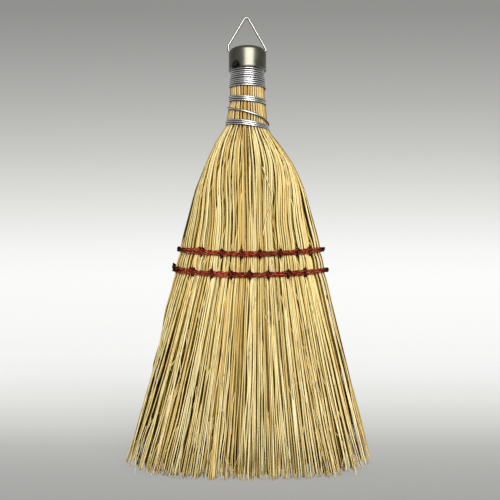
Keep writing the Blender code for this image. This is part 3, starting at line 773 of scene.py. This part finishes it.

# %% [markdown]
# ## Broomcorn
#
# Dried broomcorn is a grass stalk: a hard, waxy skin with fine grooves along it. The colour runs from
# cream through straw and gold to grey green and brown, and it changes from stalk to stalk more than along
# one stalk. Each strand carries a tone, a number from 0 to 1, and a colour ramp turns it into a colour. A
# noise that is stretched along the broom adds streaks about 0.7 mm wide. Little light gets deep into the
# brush, so each point also carries a painted shade, from how deep it lies under the front or back and from
# how much it faces a neighbour, and it darkens the colour there. The handle is a little browner than the
# fan, from the hands that hold it.

# %% Tone and painted shade of the straw
SHADE_DEPTHS = ((0.0, 8.0), (15.0, 4.0), (60.0, 2.8), (90.0, 4.0), (115.0, 6.5), (205.0, 6.0), (230.0, 2.4))
FLANK_SHADES = ((0.0, 0.06), (85.0, 0.06), (125.0, 0.22), (160.0, 0.10), (190.0, 0.05), (225.0, 0.08))
FLANK_POWER = 1.6
EDGE_POWERS = ((0.0, 0.0), (120.0, 0.1), (150.0, 1.5), (200.0, 1.5), (220.0, 0.0))
SHADE_START = 1.0 * MM
NOTCH_WIDTH = 0.5 * MM
NOTCH_CORE = 1.4
NOTCH_SHADE = 0.7
PATCHES = ((54, 62, 0.0, 0.1), (-43, -31, 0.86, 0.94))
PATCH_SHARE = 0.5
PATCH_STARTS_UNDER = 190.25 * MM


def notch_shade(x, z):
    """Painted shade: dark wedges in the straw above and below each knot, where the stitches part it."""
    shade = np.ones_like(x)
    for row in range(len(ROWS)):
        off, near = from_knots(row, x, z)
        wedge = kept_in(NOTCH_CORE * near - np.abs(off) / NOTCH_WIDTH)
        shade = shade * (1.0 - NOTCH_SHADE * wedge)
    return shade


def straw_marks(middles, out, tones):
    """The tone of each strand, and its painted shade: 1 on the outside of the brush, lower deeper in, and
    lower along the strand's flanks, where its neighbours keep the light out."""
    x, y, z = (middles[..., axis] for axis in range(3))
    notch = notch_shade(x, z)
    x = x - middle(z)
    share = np.clip(x / half_width(z), -1.0, 1.0)
    under = half_depth(z) * np.sqrt(1.0 - share**2) - np.abs(y)
    reach = by_height(z, SHADE_DEPTHS) * MM
    depth_shade = notch * np.exp(-np.clip(under - SHADE_START, 0.0, None) / reach)
    ahead = out[..., 1] * np.where(y > 0, 1.0, -1.0)
    towards = np.maximum((out * away_from_middle(x, y, z)).sum(-1), ahead)
    power = FLANK_POWER * (1.0 + by_height(z, EDGE_POWERS) * np.abs(share))
    flank = by_height(z, FLANK_SHADES)
    flank_shade = flank + (1.0 - flank) * kept_in(towards) ** power
    return {"tone": tones, "shade": depth_shade * flank_shade}


def tones_for(paths):
    """A tone for each strand. Two patches near the tips, one warm and one grey green, have their own: each
    runs from one place to another, in millimetres, and from one tone to another."""
    plain = tones = rng.random(len(paths))
    tip = paths[:, -1, 0] / MM
    chosen = (paths[:, 0, 2] < PATCH_STARTS_UNDER) & (rng.random(len(paths)) < PATCH_SHARE)
    for left, right, lowest, highest in PATCHES:
        own = lowest + (highest - lowest) * plain
        tones = np.where(chosen & (tip > left) & (tip < right), own, tones)
    return tones


# %% Broomcorn material
STREAK_WIDTH = 0.7 * MM
STREAK_LENGTH = 28 * MM
STREAK_SHARE = 0.6
STREAK_RELIEF = 0.05 * MM
STRAW_GLOSS = 0.2
WEAR_TOP = 250 * MM
HUES = (
    (0.00, "#D6B872"),
    (0.10, "#E2C886"),
    (0.26, "#EDD696"),
    (0.46, "#F6E3A8"),
    (0.62, "#FCEDBC"),
    (0.76, "#FFF6D4"),
    (0.86, "#EEE6B2"),
    (0.94, "#E2DCAA"),
    (1.00, "#E8D0AC"),
)
PAINTED_SHADE_COLOURS = (
    (0.00, "#1A1203"),
    (0.20, "#625331"),
    (0.36, "#8F8150"),
    (0.55, "#BFB388"),
    (0.75, "#E6DFC8"),
    (0.92, "#FFFFFF"),
)
WEAR = ((0.15, "#FFFFFF"), (0.45, "#FFFBEC"), (0.82, "#FFFBEC"), (0.90, "#E8D8BE"))


def make_broomcorn():
    material, tree, shader = new_material("dried_broomcorn", roughness=0.45)
    place = object_place(tree)
    tone = mark(tree, "tone")
    grain = stretched(tree, place, STREAK_WIDTH, STREAK_LENGTH)
    grain = {"Vector": grain, "W": tone, "Detail": 3.0, "Scale": 1.0}
    streaks = add_node(tree, "ShaderNodeTexNoise", "Fac", grain, noise_dimensions="4D")
    stain = colour_ramp(tree, streaks, (0.32, "#B8A07C"), (0.58, "#FFFFFF"))
    colour = multiplied(tree, colour_ramp(tree, tone, *HUES), stain, STREAK_SHARE)
    # Painted shade: the shade attribute darkens the straw deep in the brush and along each strand's flanks.
    colour = multiplied(tree, colour, colour_ramp(tree, mark(tree, "shade"), *PAINTED_SHADE_COLOURS))
    height = remapped(tree, add_node(tree, "ShaderNodeSeparateXYZ", "Z", {"Vector": place}), (0.0, WEAR_TOP))
    colour = multiplied(tree, colour, colour_ramp(tree, height, *WEAR))
    set_surface(shader, colour, normal=relief(tree, streaks, STREAK_RELIEF, strength=0.5), gloss=STRAW_GLOSS)
    return material


broomcorn = make_broomcorn()
print("material:", broomcorn.name)

# %% [markdown]
# The strands are grouped as the model's stalks are: fourteen bays in front and fourteen behind. Each
# group takes the place of one of the model's nodes.

# %% Strands into their bays
BAYS = 14
BAY_SPAN = 0.75
BAY_EDGES = np.linspace(-BAY_SPAN, BAY_SPAN, BAYS - 1)
BAY_HEIGHT = 126 * MM
STRAND_SIDES = 8
HAIR_TONES = (0.45, 0.85)
STRAY_STEP = 2 * MM
STRAY_RADIUS = 0.42 * MM
STRAY_TONE = 0.74


def bay_number(paths):
    """The bay of each strand, counted from the left in front and then from the left behind. It is read where
    the strand passes the rows, or at its top where it starts lower."""
    rows = np.argmax(paths[..., 2] < BAY_HEIGHT, axis=1)
    found = paths[np.arange(len(paths)), rows]
    share = (found[:, 0] - middle(found[:, 2])) / half_width(found[:, 2])
    return np.searchsorted(BAY_EDGES, share) + BAYS * (found[:, 1] > 0)


def make_strands():
    stalks = [(outer_stalks, outer_radii), (core_stalks, core_radii)]
    straw = [*stalks, *rim_fibres, (core_fibres, core_fibre_radii)]
    stray = even_path([Vector(point) for point in stray_path()], STRAY_STEP)[None]
    groups = [(paths, radii, tones_for(paths)) for paths, radii in straw]
    groups.append((hairs, hair_radii, rng.uniform(*HAIR_TONES, HAIRS)))
    groups.append((stray, np.full((1, 1), STRAY_RADIUS), np.array([STRAY_TONE])))
    numbers = [bay_number(paths) for paths, *_ in groups]
    faces = 0
    for bay in range(2 * BAYS):
        chosen = [number == bay for number in numbers]
        batches = [[values[mine] for values in group] for group, mine in zip(groups, chosen) if mine.any()]
        word = f"{'back' if bay >= BAYS else 'front'}_{bay % BAYS + 1:02d}"
        mesh = tubes_along(f"strands_{word}", *batches, sides=STRAND_SIDES, marks=straw_marks)
        faces += len(mesh.polygons)
        add_piece(mesh, broomcorn, "broom", f"hurl_{word}")
    return faces


print("strand faces:", make_strands())

# %% [markdown]
# ## Binding wire
#
# Broom makers pull tinned wire tight around the wet straw. It runs in one piece from under the cap down
# to the shoulder: a close winding, a band in the middle, one long slant across the front, and a last
# band. The height falls with the turns along a few straight stretches, and a small waver keeps the turns
# from looking machined: each of its waves has a size, a speed and a start.

# %% Binding wire
WIRE_RADIUS = 0.57 * MM
WIRE_OFF = 0.1 * MM
WIRE_POINTS_PER_TURN = 48
WIRE_ROUNDING = 5
WIRE_WAVER = ((0.08, 0.73, 1.0), (0.05, 2.31, 0.0))
WIRE_SIDES = 16
WIRE_CLOUD = 1.1 * MM
POLISH_SPREAD = 0.25
WIRE_STATIONS = (
    (0.0, 254.1, 0.0, 0.0),
    (2.5, 251.1, 0.0, 0.0),
    (10.75, 241.2, 0.8, 0.0),
    (11.25, 234.5, 0.9, 0.95),
    (13.75, 231.5, 0.9, 0.95),
    (14.25, 228.9, 0.5, 0.0),
    (14.75, 219.5, 0.6, 1.7),
    (18.0, 215.8, 0.6, 1.7),
)


def waver(angle, waves):
    return sum(size * np.sin(angle * speed + start) for size, speed, start in waves)


def wire_path():
    """Turns from the back of the handle: left, front, right. The stations say, in millimetres, how high the
    wire is, how much lower it runs in front, and how much lower on the right."""
    turns, *stations = np.array(WIRE_STATIONS).T
    turn = np.linspace(0.0, turns[-1], round(turns[-1] * WIRE_POINTS_PER_TURN) + 1)
    angle = math.pi / 2 + math.tau * turn
    high, front_drop, right_drop = (np.interp(turn, turns, station) for station in stations)
    z = softened(high + front_drop * np.sin(angle) - right_drop * np.cos(angle), WIRE_ROUNDING)
    z = (z + waver(angle, WIRE_WAVER)) * MM
    skewed = skewed_at_neck(z, np.cos(angle))
    wide, deep = (half(skewed) + WIRE_RADIUS + WIRE_OFF for half in (half_width, half_depth))
    return np.stack([wide * np.cos(angle), deep * np.sin(angle), z], axis=1)


def wire_marks(middles, out):
    """How far a point faces away from the handle. Where two turns meet it is near 0, and shade is painted
    there.
    """
    return {"facing": kept_in((out * unit(middles * (1.0, 1.0, 0.0))).sum(-1))}


def make_drawn_wire(name, dark, light, roughness):
    """Drawn wire with clouds in its colour and its polish, and painted shade where it faces sideways."""
    material, tree, shader = new_material(name, roughness, metallic=1.0)
    clouds = noise(tree, object_place(tree), WIRE_CLOUD, detail=4.0)
    metal = colour_ramp(tree, clouds, (0.3, dark), (0.65, light))
    # Painted shade: near black where the wire faces sideways, between turns and along its edges.
    painted_shade = colour_ramp(tree, mark(tree, "facing"), (0.56, "#030303"), (0.80, "#5E5F63"), (0.94, "#FFFFFF"))
    spread = (roughness * (1 - POLISH_SPREAD), roughness * (1 + POLISH_SPREAD))
    polish = remapped(tree, clouds, after=spread)
    set_surface(shader, multiplied(tree, metal, painted_shade), roughness=polish)
    return material


bright_wire = make_drawn_wire("tinned_steel_wire", "#E0E3E8", "#FFFFFF", roughness=0.34)
wire = wire_path()
wire_mesh = tubes_along("bright_wire", (wire[None], WIRE_RADIUS), sides=WIRE_SIDES, marks=wire_marks)
add_piece(wire_mesh, bright_wire, "broom", "binding_wire")
print("wire points:", len(wire))

# %% [markdown]
# ## Stitching twine
#
# Each row is one twine: it runs twice round the brush, and then it is sewn over itself and through the
# straw from left to right. Its thread is two strands twisted together. Both strands are helices around
# the twine's own path, so the route is worked out first and the twist is laid round it. The lists for a
# stitch say how far off the brush it runs, on which side, and how high over the row, as a share of the
# stitch's half height. On the way to the next knot a share of that way comes first.

# %% Twine route
TWINE_STEP = 0.4 * MM
TWINE_PLIES = 2
TWINE_RADIUS = 0.50 * MM
TWINE_OFFSET = 0.42 * MM
TWINE_TWIST = 9.0 * MM
TWIST_PLAY = ((0.9, 0.13, 0.0), (0.5, 0.31, 2.0))
TWINE_REACH = 0.85 * MM
BAND_HALF_HEIGHT = 0.88 * MM
BAND_WAVE = 0.16 * MM
BAND_WAVES = 9
BAND_WAVE_STARTS = (0.0, 2.0)
BAND_EVENING = 0.25
BAND_CLOSES = 0.45
BAND_CLOSES_POWER = 8
CLIMB_START = 0.86
CLIMB_LENGTH = 0.28
ROUND_STEPS = 120
LEFT_SPLAY = (0.5 * MM, 2.6 * MM)
SPLAY_START = 0.80
SPLAY_POWER = 1.5
STITCH_HALF_HEIGHT = 2.3 * MM
STITCH_START = -0.985
OVER_REACH = 1.9 * MM
INTO_REACH = 0.38 * MM
SLANT_REACH = 1.615 * MM
THROUGH_REACH = -4.0 * MM
FRONT, BACK = -1, 1
STITCH = (
    (INTO_REACH, FRONT, 1.0),
    (OVER_REACH, FRONT, 0.4),
    (OVER_REACH, FRONT, -0.4),
    (INTO_REACH, FRONT, -1.0),
    (THROUGH_REACH, FRONT, -0.9),
    (THROUGH_REACH, BACK, -0.9),
    (INTO_REACH, BACK, -1.0),
    (OVER_REACH, BACK, 0.0),
    (INTO_REACH, BACK, 1.0),
    (THROUGH_REACH, BACK, 0.9),
    (THROUGH_REACH, FRONT, 0.9),
)
TO_NEXT_KNOT = ((0.08, INTO_REACH, 0.5), (0.3, SLANT_REACH, 0.12), (0.7, SLANT_REACH, -0.12))


def band_route(row):
    """Two rounds of the brush from the left end, front first, one above the other."""
    points = []
    for step in range(2 * ROUND_STEPS + 1):
        turn = step / ROUND_STEPS
        even = math.pi + math.tau * turn
        angle = even - BAND_EVENING * math.sin(2 * even)
        share = math.cos(angle)
        level = row_height(row, share)
        climb = max(0.0, min(1.0, (turn - CLIMB_START) / CLIMB_LENGTH))
        wave = BAND_WAVE * math.sin(math.tau * BAND_WAVES * turn + BAND_WAVE_STARTS[row])
        splay = LEFT_SPLAY[row] * max(0.0, (-share - SPLAY_START) / (1.0 - SPLAY_START)) ** SPLAY_POWER
        half = BAND_HALF_HEIGHT * (1.0 - BAND_CLOSES * abs(share) ** BAND_CLOSES_POWER)
        reach = TWINE_REACH + wave
        x = middle(level) + (half_width(level) + reach) * share
        y = (half_depth(level) + reach) * math.sin(angle)
        points.append(Vector((x, y, level + (half + wave) * (2 * climb - 1) + splay * climb)))
    return points


def off_brush(row, share, reach, side, rise=0.0):
    """A point off the front or back of the brush, above or below the row."""
    level = row_height(row, share)
    y = side * (half_depth(level) + reach) * math.sqrt(1.0 - share * share)
    return Vector((middle(level) + half_width(level) * share, y, level + rise * STITCH_HALF_HEIGHT))


def stitch_route(row):
    """Over the band and through the brush at each knot, and then slanting over the band to the next one."""
    points = [off_brush(row, STITCH_START, TWINE_REACH, FRONT)]
    knots = ROWS[row][1]
    for share, gap in zip(knots, np.diff(knots, append=np.nan)):
        points += [off_brush(row, share, *place) for place in STITCH]
        if gap > 0:
            for on, reach, rise in TO_NEXT_KNOT:
                points.append(off_brush(row, share + on * gap, reach, FRONT, rise))
    return points


def twist(path):
    """Plies round a path, with a little play so that no two turns look the same."""
    across, beside = path_frames(path[None])
    angle = np.arange(len(path)) * TWINE_STEP / TWINE_TWIST * math.tau
    angle = angle + waver(angle, TWIST_PLAY)
    strands = []
    for start in np.arange(TWINE_PLIES) * math.tau / TWINE_PLIES:
        offset = np.cos(angle + start)[:, None] * across[0] + np.sin(angle + start)[:, None] * beside[0]
        strands.append(path + TWINE_OFFSET * offset)
    return np.stack(strands)


# %% Twisted twine
DARK_ENDS_START = 0.86
DARK_ENDS_RUN = 0.12
KNOT_DARKENING = 0.6
KNOT_DARKENING_CORE = 1.4
KNOT_DARKENING_REACH = 1.6 * MM
HALF_ROW_GAP = 6.4 * MM
FUZZ_SIZE = 0.6 * MM
FUZZ_RELIEF = 0.12 * MM
STAIN_SIZE = 15 * MM
TWINE_GLOSS = 0.08
TWINE_SIDES = 8
TWINE_RED_AND_PAINTED_LIGHT = ((0.62, "#080000"), (0.78, "#7E0A02"), (0.90, "#D23008"), (0.97, "#FFC896"))


def twine_marks(middles, out):
    """The twine is darker towards the two ends of a row, and a little at each knot.
    The sides that face the straw are painted dark, as shade, and those that face straight out carry a
    painted highlight."""
    x, y, z = (middles[..., axis] for axis in range(3))
    x, wide = x - middle(z), half_width(z)
    darkening = kept_in((np.abs(x) / wide - DARK_ENDS_START) / DARK_ENDS_RUN)
    for level, knots in ROWS:
        off = np.abs((x / wide)[..., None] - knots).min(-1) * wide
        here = np.abs(z - level) < HALF_ROW_GAP
        darkening = np.maximum(darkening, KNOT_DARKENING * here * kept_in(KNOT_DARKENING_CORE - off / KNOT_DARKENING_REACH))
    facing = (out * away_from_middle(x, y, z)).sum(-1)
    return {"darkening": darkening, "facing": kept_in(facing)}


def make_twine_material():
    material, tree, shader = new_material("red_waxed_twine", roughness=0.5)
    fuzz = noise(tree, object_place(tree), FUZZ_SIZE, detail=4.0)
    stain = noise(tree, object_place(tree), STAIN_SIZE, detail=2.0)
    # Painted light: the red is near black on the sides that face the straw and a pale painted highlight
    # where the twine faces out.
    colour = colour_ramp(tree, mark(tree, "facing"), *TWINE_RED_AND_PAINTED_LIGHT)
    colour = multiplied(tree, colour, colour_ramp(tree, fuzz, (0.36, "#A89694"), (0.58, "#FFFFFF")))
    colour = multiplied(tree, colour, colour_ramp(tree, stain, (0.35, "#B8A2A0"), (0.6, "#FFFFFF")))
    # Darker towards the two ends of each row and at the knots.
    darkening_mix = {"Factor": mark(tree, "darkening"), "A": colour, "B": linear("#2C0302")}
    colour = add_node(tree, "ShaderNodeMix", "Result", darkening_mix, data_type="RGBA")
    set_surface(shader, colour, normal=relief(tree, fuzz, FUZZ_RELIEF), gloss=TWINE_GLOSS)
    return material


red_twine = make_twine_material()
for row, word in enumerate(("upper", "lower")):
    path = even_path(band_route(row) + stitch_route(row), TWINE_STEP)
    mesh = tubes_along(f"{word}_twine", (twist(path), TWINE_RADIUS), sides=TWINE_SIDES, marks=twine_marks)
    add_piece(mesh, red_twine, "broom", f"{word}_stitching")
    print(word, "row:", round(len(path) * TWINE_STEP, 3), "m of twine,", len(mesh.polygons), "faces")

# %% [markdown]
# ## Cap
#
# The cap is drawn from tinplate: a short cup with a rounded shoulder and a small bead at its rim. Turning
# a profile is how the press makes it, so the profile is spun round the handle's axis. The ring's two pins
# go through holes near the top, which are cut with a bar.

# %% Cap shape
CAP_RADIUS = 11.75 * MM
CAP_WALL = 0.4 * MM
CAP_SHOULDER = 2.8 * MM
CAP_CROWN = 0.5 * MM
CAP_BEAD = 0.42 * MM
CAP_STRAIGHT_FROM = 6 * MM
CAP_STEPS = 96
CAP_SHARP_ANGLE = math.radians(45)
cap_low, cap_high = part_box("cap")
CAP_RIM, CAP_TOP = cap_low.z, cap_high.z
PIVOT = Vector(frame["joints"][0]["pos_m"])
RING_WIRE = 0.65 * MM
HOLE_CLEARANCE = 0.3 * MM
HOLE_REACH = Vector((CAP_RADIUS + 2 * MM, 0, 0))
HOLE_SIDES = 24


def arc(x, z, radius, first, last, steps):
    angles = np.linspace(first, last, steps + 1)
    return [(x + radius * math.cos(a), z + radius * math.sin(a)) for a in angles]


def cap_profile():
    """Half the cap's section, from its top down the outside, round the bead and up the inside."""
    quarter = math.pi / 2
    flat = CAP_RADIUS - CAP_SHOULDER
    bend = CAP_TOP - CAP_CROWN - CAP_SHOULDER
    outside = [(0.0, CAP_TOP), (flat / 2, CAP_TOP - CAP_CROWN / 4)]
    outside += arc(flat, bend, CAP_SHOULDER, quarter, 0.0, steps=10)
    outside += [(CAP_RADIUS, CAP_RIM + CAP_STRAIGHT_FROM), (CAP_RADIUS, CAP_RIM + 3 * CAP_BEAD)]
    bead = arc(CAP_RADIUS, CAP_RIM + CAP_BEAD, CAP_BEAD, quarter, -quarter, steps=6)
    inside = [(CAP_RADIUS - CAP_WALL, CAP_RIM)]
    inside += arc(flat, bend, CAP_SHOULDER - CAP_WALL, 0.0, quarter, steps=8)
    return outside + bead + inside + [(0.0, CAP_TOP - CAP_WALL)]


def line_in(bm, points):
    """A line of edges through points, as its vertices and edges."""
    verts = [bm.verts.new(point) for point in points]
    return verts, [bm.edges.new(pair) for pair in zip(verts, verts[1:])]


def spun_mesh(name, profile, steps):
    """A profile in the XZ plane, turned once round Z."""
    bm = bmesh.new()
    verts, edges = line_in(bm, [(x, 0.0, z) for x, z in profile])
    turn = {"axis": (0, 0, 1), "cent": (0, 0, 0), "angle": math.tau, "steps": steps, "use_merge": True}
    bmesh.ops.spin(bm, geom=verts + edges, **turn)
    bmesh.ops.remove_doubles(bm, verts=bm.verts, dist=WELD)
    bmesh.ops.recalc_face_normals(bm, faces=bm.faces)
    return mesh_of(bm, name)


def cut_by_bar(mesh, radius, start, end):
    """The mesh with a round hole from start to end."""
    bm = bmesh.new()
    along = end - start
    ends = {"radius1": radius, "radius2": radius, "depth": along.length}
    bmesh.ops.create_cone(bm, cap_ends=True, segments=HOLE_SIDES, **ends)
    turned = along.to_track_quat("Z", "Y").to_matrix().to_4x4()
    bmesh.ops.transform(bm, matrix=Matrix.Translation((start + end) / 2) @ turned, verts=bm.verts)
    body = in_scene("body", mesh)
    bar = in_scene("bar", mesh_of(bm, "bar"))
    cut = body.modifiers.new("cut", "BOOLEAN")
    cut.operation = "DIFFERENCE"
    cut.object = bar
    result = bpy.data.meshes.new_from_object(body.evaluated_get(bpy.context.evaluated_depsgraph_get()))
    name = mesh.name
    for item in (body, bar):
        used = item.data
        bpy.data.objects.remove(item)
        bpy.data.meshes.remove(used)
    result.name = name
    return result


# %% [markdown]
# Tinplate is thin steel with a bright coat of tin. On an old cap the coat is a little dull, with an olive
# tarnish in clouds. Round the tack a black patch is painted, both grime and the shadow in the gap at the
# rim. The drawing leaves faint lines up the wall.

# %% Cap material and piece
tack_low, tack_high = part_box("cap_tack")
GRIME_SHADOW_DROP = Vector((0, 0, 0.9 * MM))
GRIME_SHADOW_PLACE = (tack_low + tack_high) / 2 - GRIME_SHADOW_DROP
GRIME_SHADOW_REACH = 5.2 * MM
GRIME_SHADOW_EDGE = 1.6 * MM
GRIME_SHADOW_RAGGED = 0.5
TARNISH_SIZE = 6.0 * MM
DRAW_LINE_WIDTH = 0.25 * MM
DRAW_LINE_LENGTH = 8.0 * MM
DRAW_LINE_RELIEF = 0.02 * MM
TIN_POLISH = (0.22, 0.4)


def make_tinplate():
    material, tree, shader = new_material("drawn_tinplate", roughness=0.3, metallic=1.0)
    place = object_place(tree)
    clouds = noise(tree, place, TARNISH_SIZE, detail=5.0)
    metal = colour_ramp(tree, clouds, (0.3, "#6E6D60"), (0.65, "#817F75"))
    edge = noise(tree, place, GRIME_SHADOW_EDGE, detail=3.0)
    edge = maths(tree, "MULTIPLY_ADD", edge, GRIME_SHADOW_RAGGED, -GRIME_SHADOW_RAGGED / 2)
    ends = {0: place, 1: tuple(GRIME_SHADOW_PLACE)}
    from_tack = add_node(tree, "ShaderNodeVectorMath", "Value", ends, operation="DISTANCE")
    from_tack = maths(tree, "MULTIPLY_ADD", from_tack, 1 / GRIME_SHADOW_REACH, edge)
    # Painted shadow with grime: black round the tack, a little below it towards the rim.
    grime_and_shadow = colour_ramp(tree, from_tack, (0.50, "#0C0B07"), (0.80, "#FFFFFF"))
    lines = noise(tree, stretched(tree, place, DRAW_LINE_WIDTH, DRAW_LINE_LENGTH), 1.0, detail=2.0)
    lines = relief(tree, lines, DRAW_LINE_RELIEF, strength=0.5)
    set_surface(shader, multiplied(tree, metal, grime_and_shadow), remapped(tree, clouds, after=TIN_POLISH), lines)
    return material


cap_mesh = spun_mesh("tin_cap", cap_profile(), CAP_STEPS)
cap_mesh = cut_by_bar(cap_mesh, RING_WIRE + HOLE_CLEARANCE, PIVOT - HOLE_REACH, PIVOT + HOLE_REACH)
cap_mesh.shade_smooth()
cap_mesh.set_sharp_from_angle(angle=CAP_SHARP_ANGLE)
add_piece(cap_mesh, make_tinplate(), "broom", "cap")
print("cap:", round((CAP_TOP - CAP_RIM) / MM, 1), "mm tall")

# %% [markdown]
# ## Hanging ring
#
# The ring is one bent wire, a triangle with a rounded top. Its ends are hooked inwards through the cap's
# holes, and it swings on them. Each bend is an arc of the size that a round nose plier leaves. The
# corners are given from the pivot, across and up, with the radius of their bend, in millimetres.

# %% Hanging ring
ring_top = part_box("hanging_ring")[1].z
RING_CORNERS = (
    (-8.95, 0, 0.0),
    (-12.1, 0, 0.9),
    (-12.0, 3.8, 0.9),
    (-0.6, 22.8, 1.7),
    (12.35, 0, 0.9),
    (8.95, 0, 0.0),
)
BEND_STEPS = 8
SIDE_SHADE_POWER = 1.5


def rounded(corners, steps):
    """A route through corners, each bend an arc of its own radius."""
    corners = [(Vector((x, 0, z)) * MM, radius * MM) for x, z, radius in corners]
    points = [corners[0][0]]
    for (before, _), (corner, radius), (after, _) in zip(corners, corners[1:], corners[2:]):
        back = (before - corner).normalized()
        on = (after - corner).normalized()
        half = back.angle(on) / 2
        centre = corner + (back + on).normalized() * (radius / math.sin(half))
        first, last = (corner + way * (radius / math.tan(half)) - centre for way in (back, on))
        for step in range(steps + 1):
            points.append(centre + first.slerp(last, step / steps).normalized() * radius)
    points.append(corners[-1][0])
    return points


def ring_marks(middles, out):
    """How far a point faces forward or back. Where it faces elsewhere the wire is painted dark, as shade
    along its edges.
    """
    return {"facing": np.abs(out[..., 1]) ** SIDE_SHADE_POWER}


ring_points = np.array([tuple(PIVOT + point) for point in rounded(RING_CORNERS, BEND_STEPS)])
ring_mesh = tubes_along("ring_wire", (ring_points[None], RING_WIRE), sides=WIRE_SIDES, marks=ring_marks)
ring_wire = make_drawn_wire("drawn_steel_wire", "#9B9A94", "#BDBCB4", roughness=0.24)
add_piece(ring_mesh, ring_wire, "hanging_ring", "hanging_ring")
print("ring rises", round((ring_top - PIVOT.z) / MM, 1), "mm over its pins")

# %% [markdown]
# ## Tack and stalk butts
#
# A blued nail at the lower left of the cap's front holds it on the stalks. The butts in the middle of the
# handle are hidden by the straw around them. Both keep the model's own shape, with a finish of their own.

# %% Tack and butts
SPECK_RELIEF = 0.04 * MM


def make_speckled(name, dark, light, speck, **surface):
    material, tree, shader = new_material(name, **surface)
    specks = noise(tree, object_place(tree), speck, detail=4.0)
    colour = colour_ramp(tree, specks, (0.35, dark), (0.65, light))
    set_surface(shader, colour, normal=relief(tree, specks, SPECK_RELIEF))
    return material


blued_iron = make_speckled("blued_iron", "#0C0B0A", "#2A2622", speck=1.1 * MM, roughness=0.45, metallic=0.6)
pith = make_speckled("stalk_pith", "#A58B58", "#CDB684", speck=1.4 * MM, roughness=0.8)
for name, node in frame["nodes"].items():
    if name == "cap_tack" or name.startswith("core_stalk"):
        node.data.materials.clear()
        node.data.materials.append(blued_iron if name == "cap_tack" else pith)

# %% [markdown]
# ## Backdrop and light
#
# The broom stands in front of a plain grey sweep that is white where floor and wall meet. The sweep is a
# floor that curves up into a wall. Its grey is a ramp over its own coordinates: along Y on the floor and
# along Z on the wall. The camera sees most of that grey as it is, as if the paper glowed, and the rest as
# paper that takes the shadow. For the light that falls on the broom it is paper only.

# %% Sweep
FLOOR_FRONT = -0.9
FLOOR_BACK = 0.50
SWEEP_RADIUS = 0.30
SWEEP_STEPS = 12
WALL_TOP = 1.6
SWEEP_HALF_WIDTH = 2.4
FLOOR_SPAN = (-0.06, 0.5)
FLOOR_GREYS = (
    (0.0, "#A8A8A6"),
    (0.107, "#B3B3B1"),
    (0.19, "#BFBFBC"),
    (0.30, "#D8D8D5"),
    (0.45, "#ECEDE9"),
    (0.65, "#F9F9F9"),
    (0.90, "#FFFFFF"),
)
WALL_SPAN = (0.08, 0.62)
WALL_GREYS = (
    (0.02, "#FFFFFF"),
    (0.11, "#F9F9F9"),
    (0.285, "#E2E3DF"),
    (0.46, "#CACAC7"),
    (0.635, "#B4B4B2"),
    (0.81, "#A1A19F"),
    (0.95, "#939391"),
)
GLOW_SHARE = 0.8


def make_sweep_mesh():
    bm = bmesh.new()
    bend = arc(FLOOR_BACK, SWEEP_RADIUS, SWEEP_RADIUS, -math.pi / 2, 0.0, SWEEP_STEPS)
    line = [(FLOOR_FRONT, 0.0), *bend, (FLOOR_BACK + SWEEP_RADIUS, WALL_TOP)]
    _, edges = line_in(bm, [(-SWEEP_HALF_WIDTH, y, z) for y, z in line])
    grown = bmesh.ops.extrude_edge_only(bm, edges=edges)["geom"]
    far = [item for item in grown if isinstance(item, bmesh.types.BMVert)]
    bmesh.ops.translate(bm, verts=far, vec=(2 * SWEEP_HALF_WIDTH, 0, 0))
    mesh = mesh_of(bm, "sweep")
    mesh.shade_smooth()
    return mesh


def make_sweep_material():
    material, tree, _ = new_material("studio_paper")
    tree.nodes.clear()
    parts = add_node(tree, "ShaderNodeSeparateXYZ", None, {"Vector": object_place(tree)}).outputs
    floor = colour_ramp(tree, remapped(tree, parts["Y"], FLOOR_SPAN), *FLOOR_GREYS)
    wall = colour_ramp(tree, remapped(tree, parts["Z"], WALL_SPAN), *WALL_GREYS)
    grey = multiplied(tree, floor, wall)
    paper = add_node(tree, "ShaderNodeBsdfDiffuse", "BSDF", {"Color": grey})
    glow = add_node(tree, "ShaderNodeEmission", "Emission", {"Color": grey, "Strength": 1.0})
    rays = add_node(tree, "ShaderNodeLightPath", None, {}).outputs
    seen = maths(tree, "MAXIMUM", rays["Is Camera Ray"], rays["Is Glossy Ray"])
    seen = maths(tree, "MAXIMUM", seen, rays["Is Transmission Ray"])
    seen = maths(tree, "MULTIPLY", seen, GLOW_SHARE)
    mixed = add_node(tree, "ShaderNodeMixShader", "Shader", {0: seen, 1: paper, 2: glow})
    add_node(tree, "ShaderNodeOutputMaterial", None, {"Surface": mixed})
    return material


sweep = in_scene("sweep", make_sweep_mesh())
sweep.data.materials.append(make_sweep_material())
sweep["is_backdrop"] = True
print("sweep:", len(sweep.data.polygons), "faces")

# %% Lamp and world
LAMP_PLACE = Vector((0.29, -1.5, 0.75))
LAMP_AIM = Vector((0.0, 0.0, 0.14))
LAMP_SIZE = (1.5, 1.4)
LAMP_WATTS = 38.0
WORLD_STRENGTH = 0.3

lamp = bpy.data.lights.new("front_softbox", "AREA")
lamp.shape = "RECTANGLE"
lamp.size, lamp.size_y = LAMP_SIZE
lamp.energy = LAMP_WATTS
lamp.color = linear("#FFFEFB")[:3]
softbox = in_scene("front_softbox", lamp)
softbox.location = LAMP_PLACE
softbox.rotation_euler = (LAMP_AIM - LAMP_PLACE).to_track_quat("-Z", "Y").to_euler()

world = bpy.data.worlds.new("studio")
bpy.context.scene.world = world
world.use_nodes = True
around = world.node_tree
fill(around, around.nodes["Background"], {"Color": linear("#EFEFEC"), "Strength": WORLD_STRENGTH})
bpy.context.scene.view_settings.view_transform = "Standard"

# %% [markdown]
# ## Finish
#
# The finished broom's box is printed, in millimetres.

# %% Finish
low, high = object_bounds()
print("finished box in mm:", [round(v / MM, 1) for v in (*low, *high)])
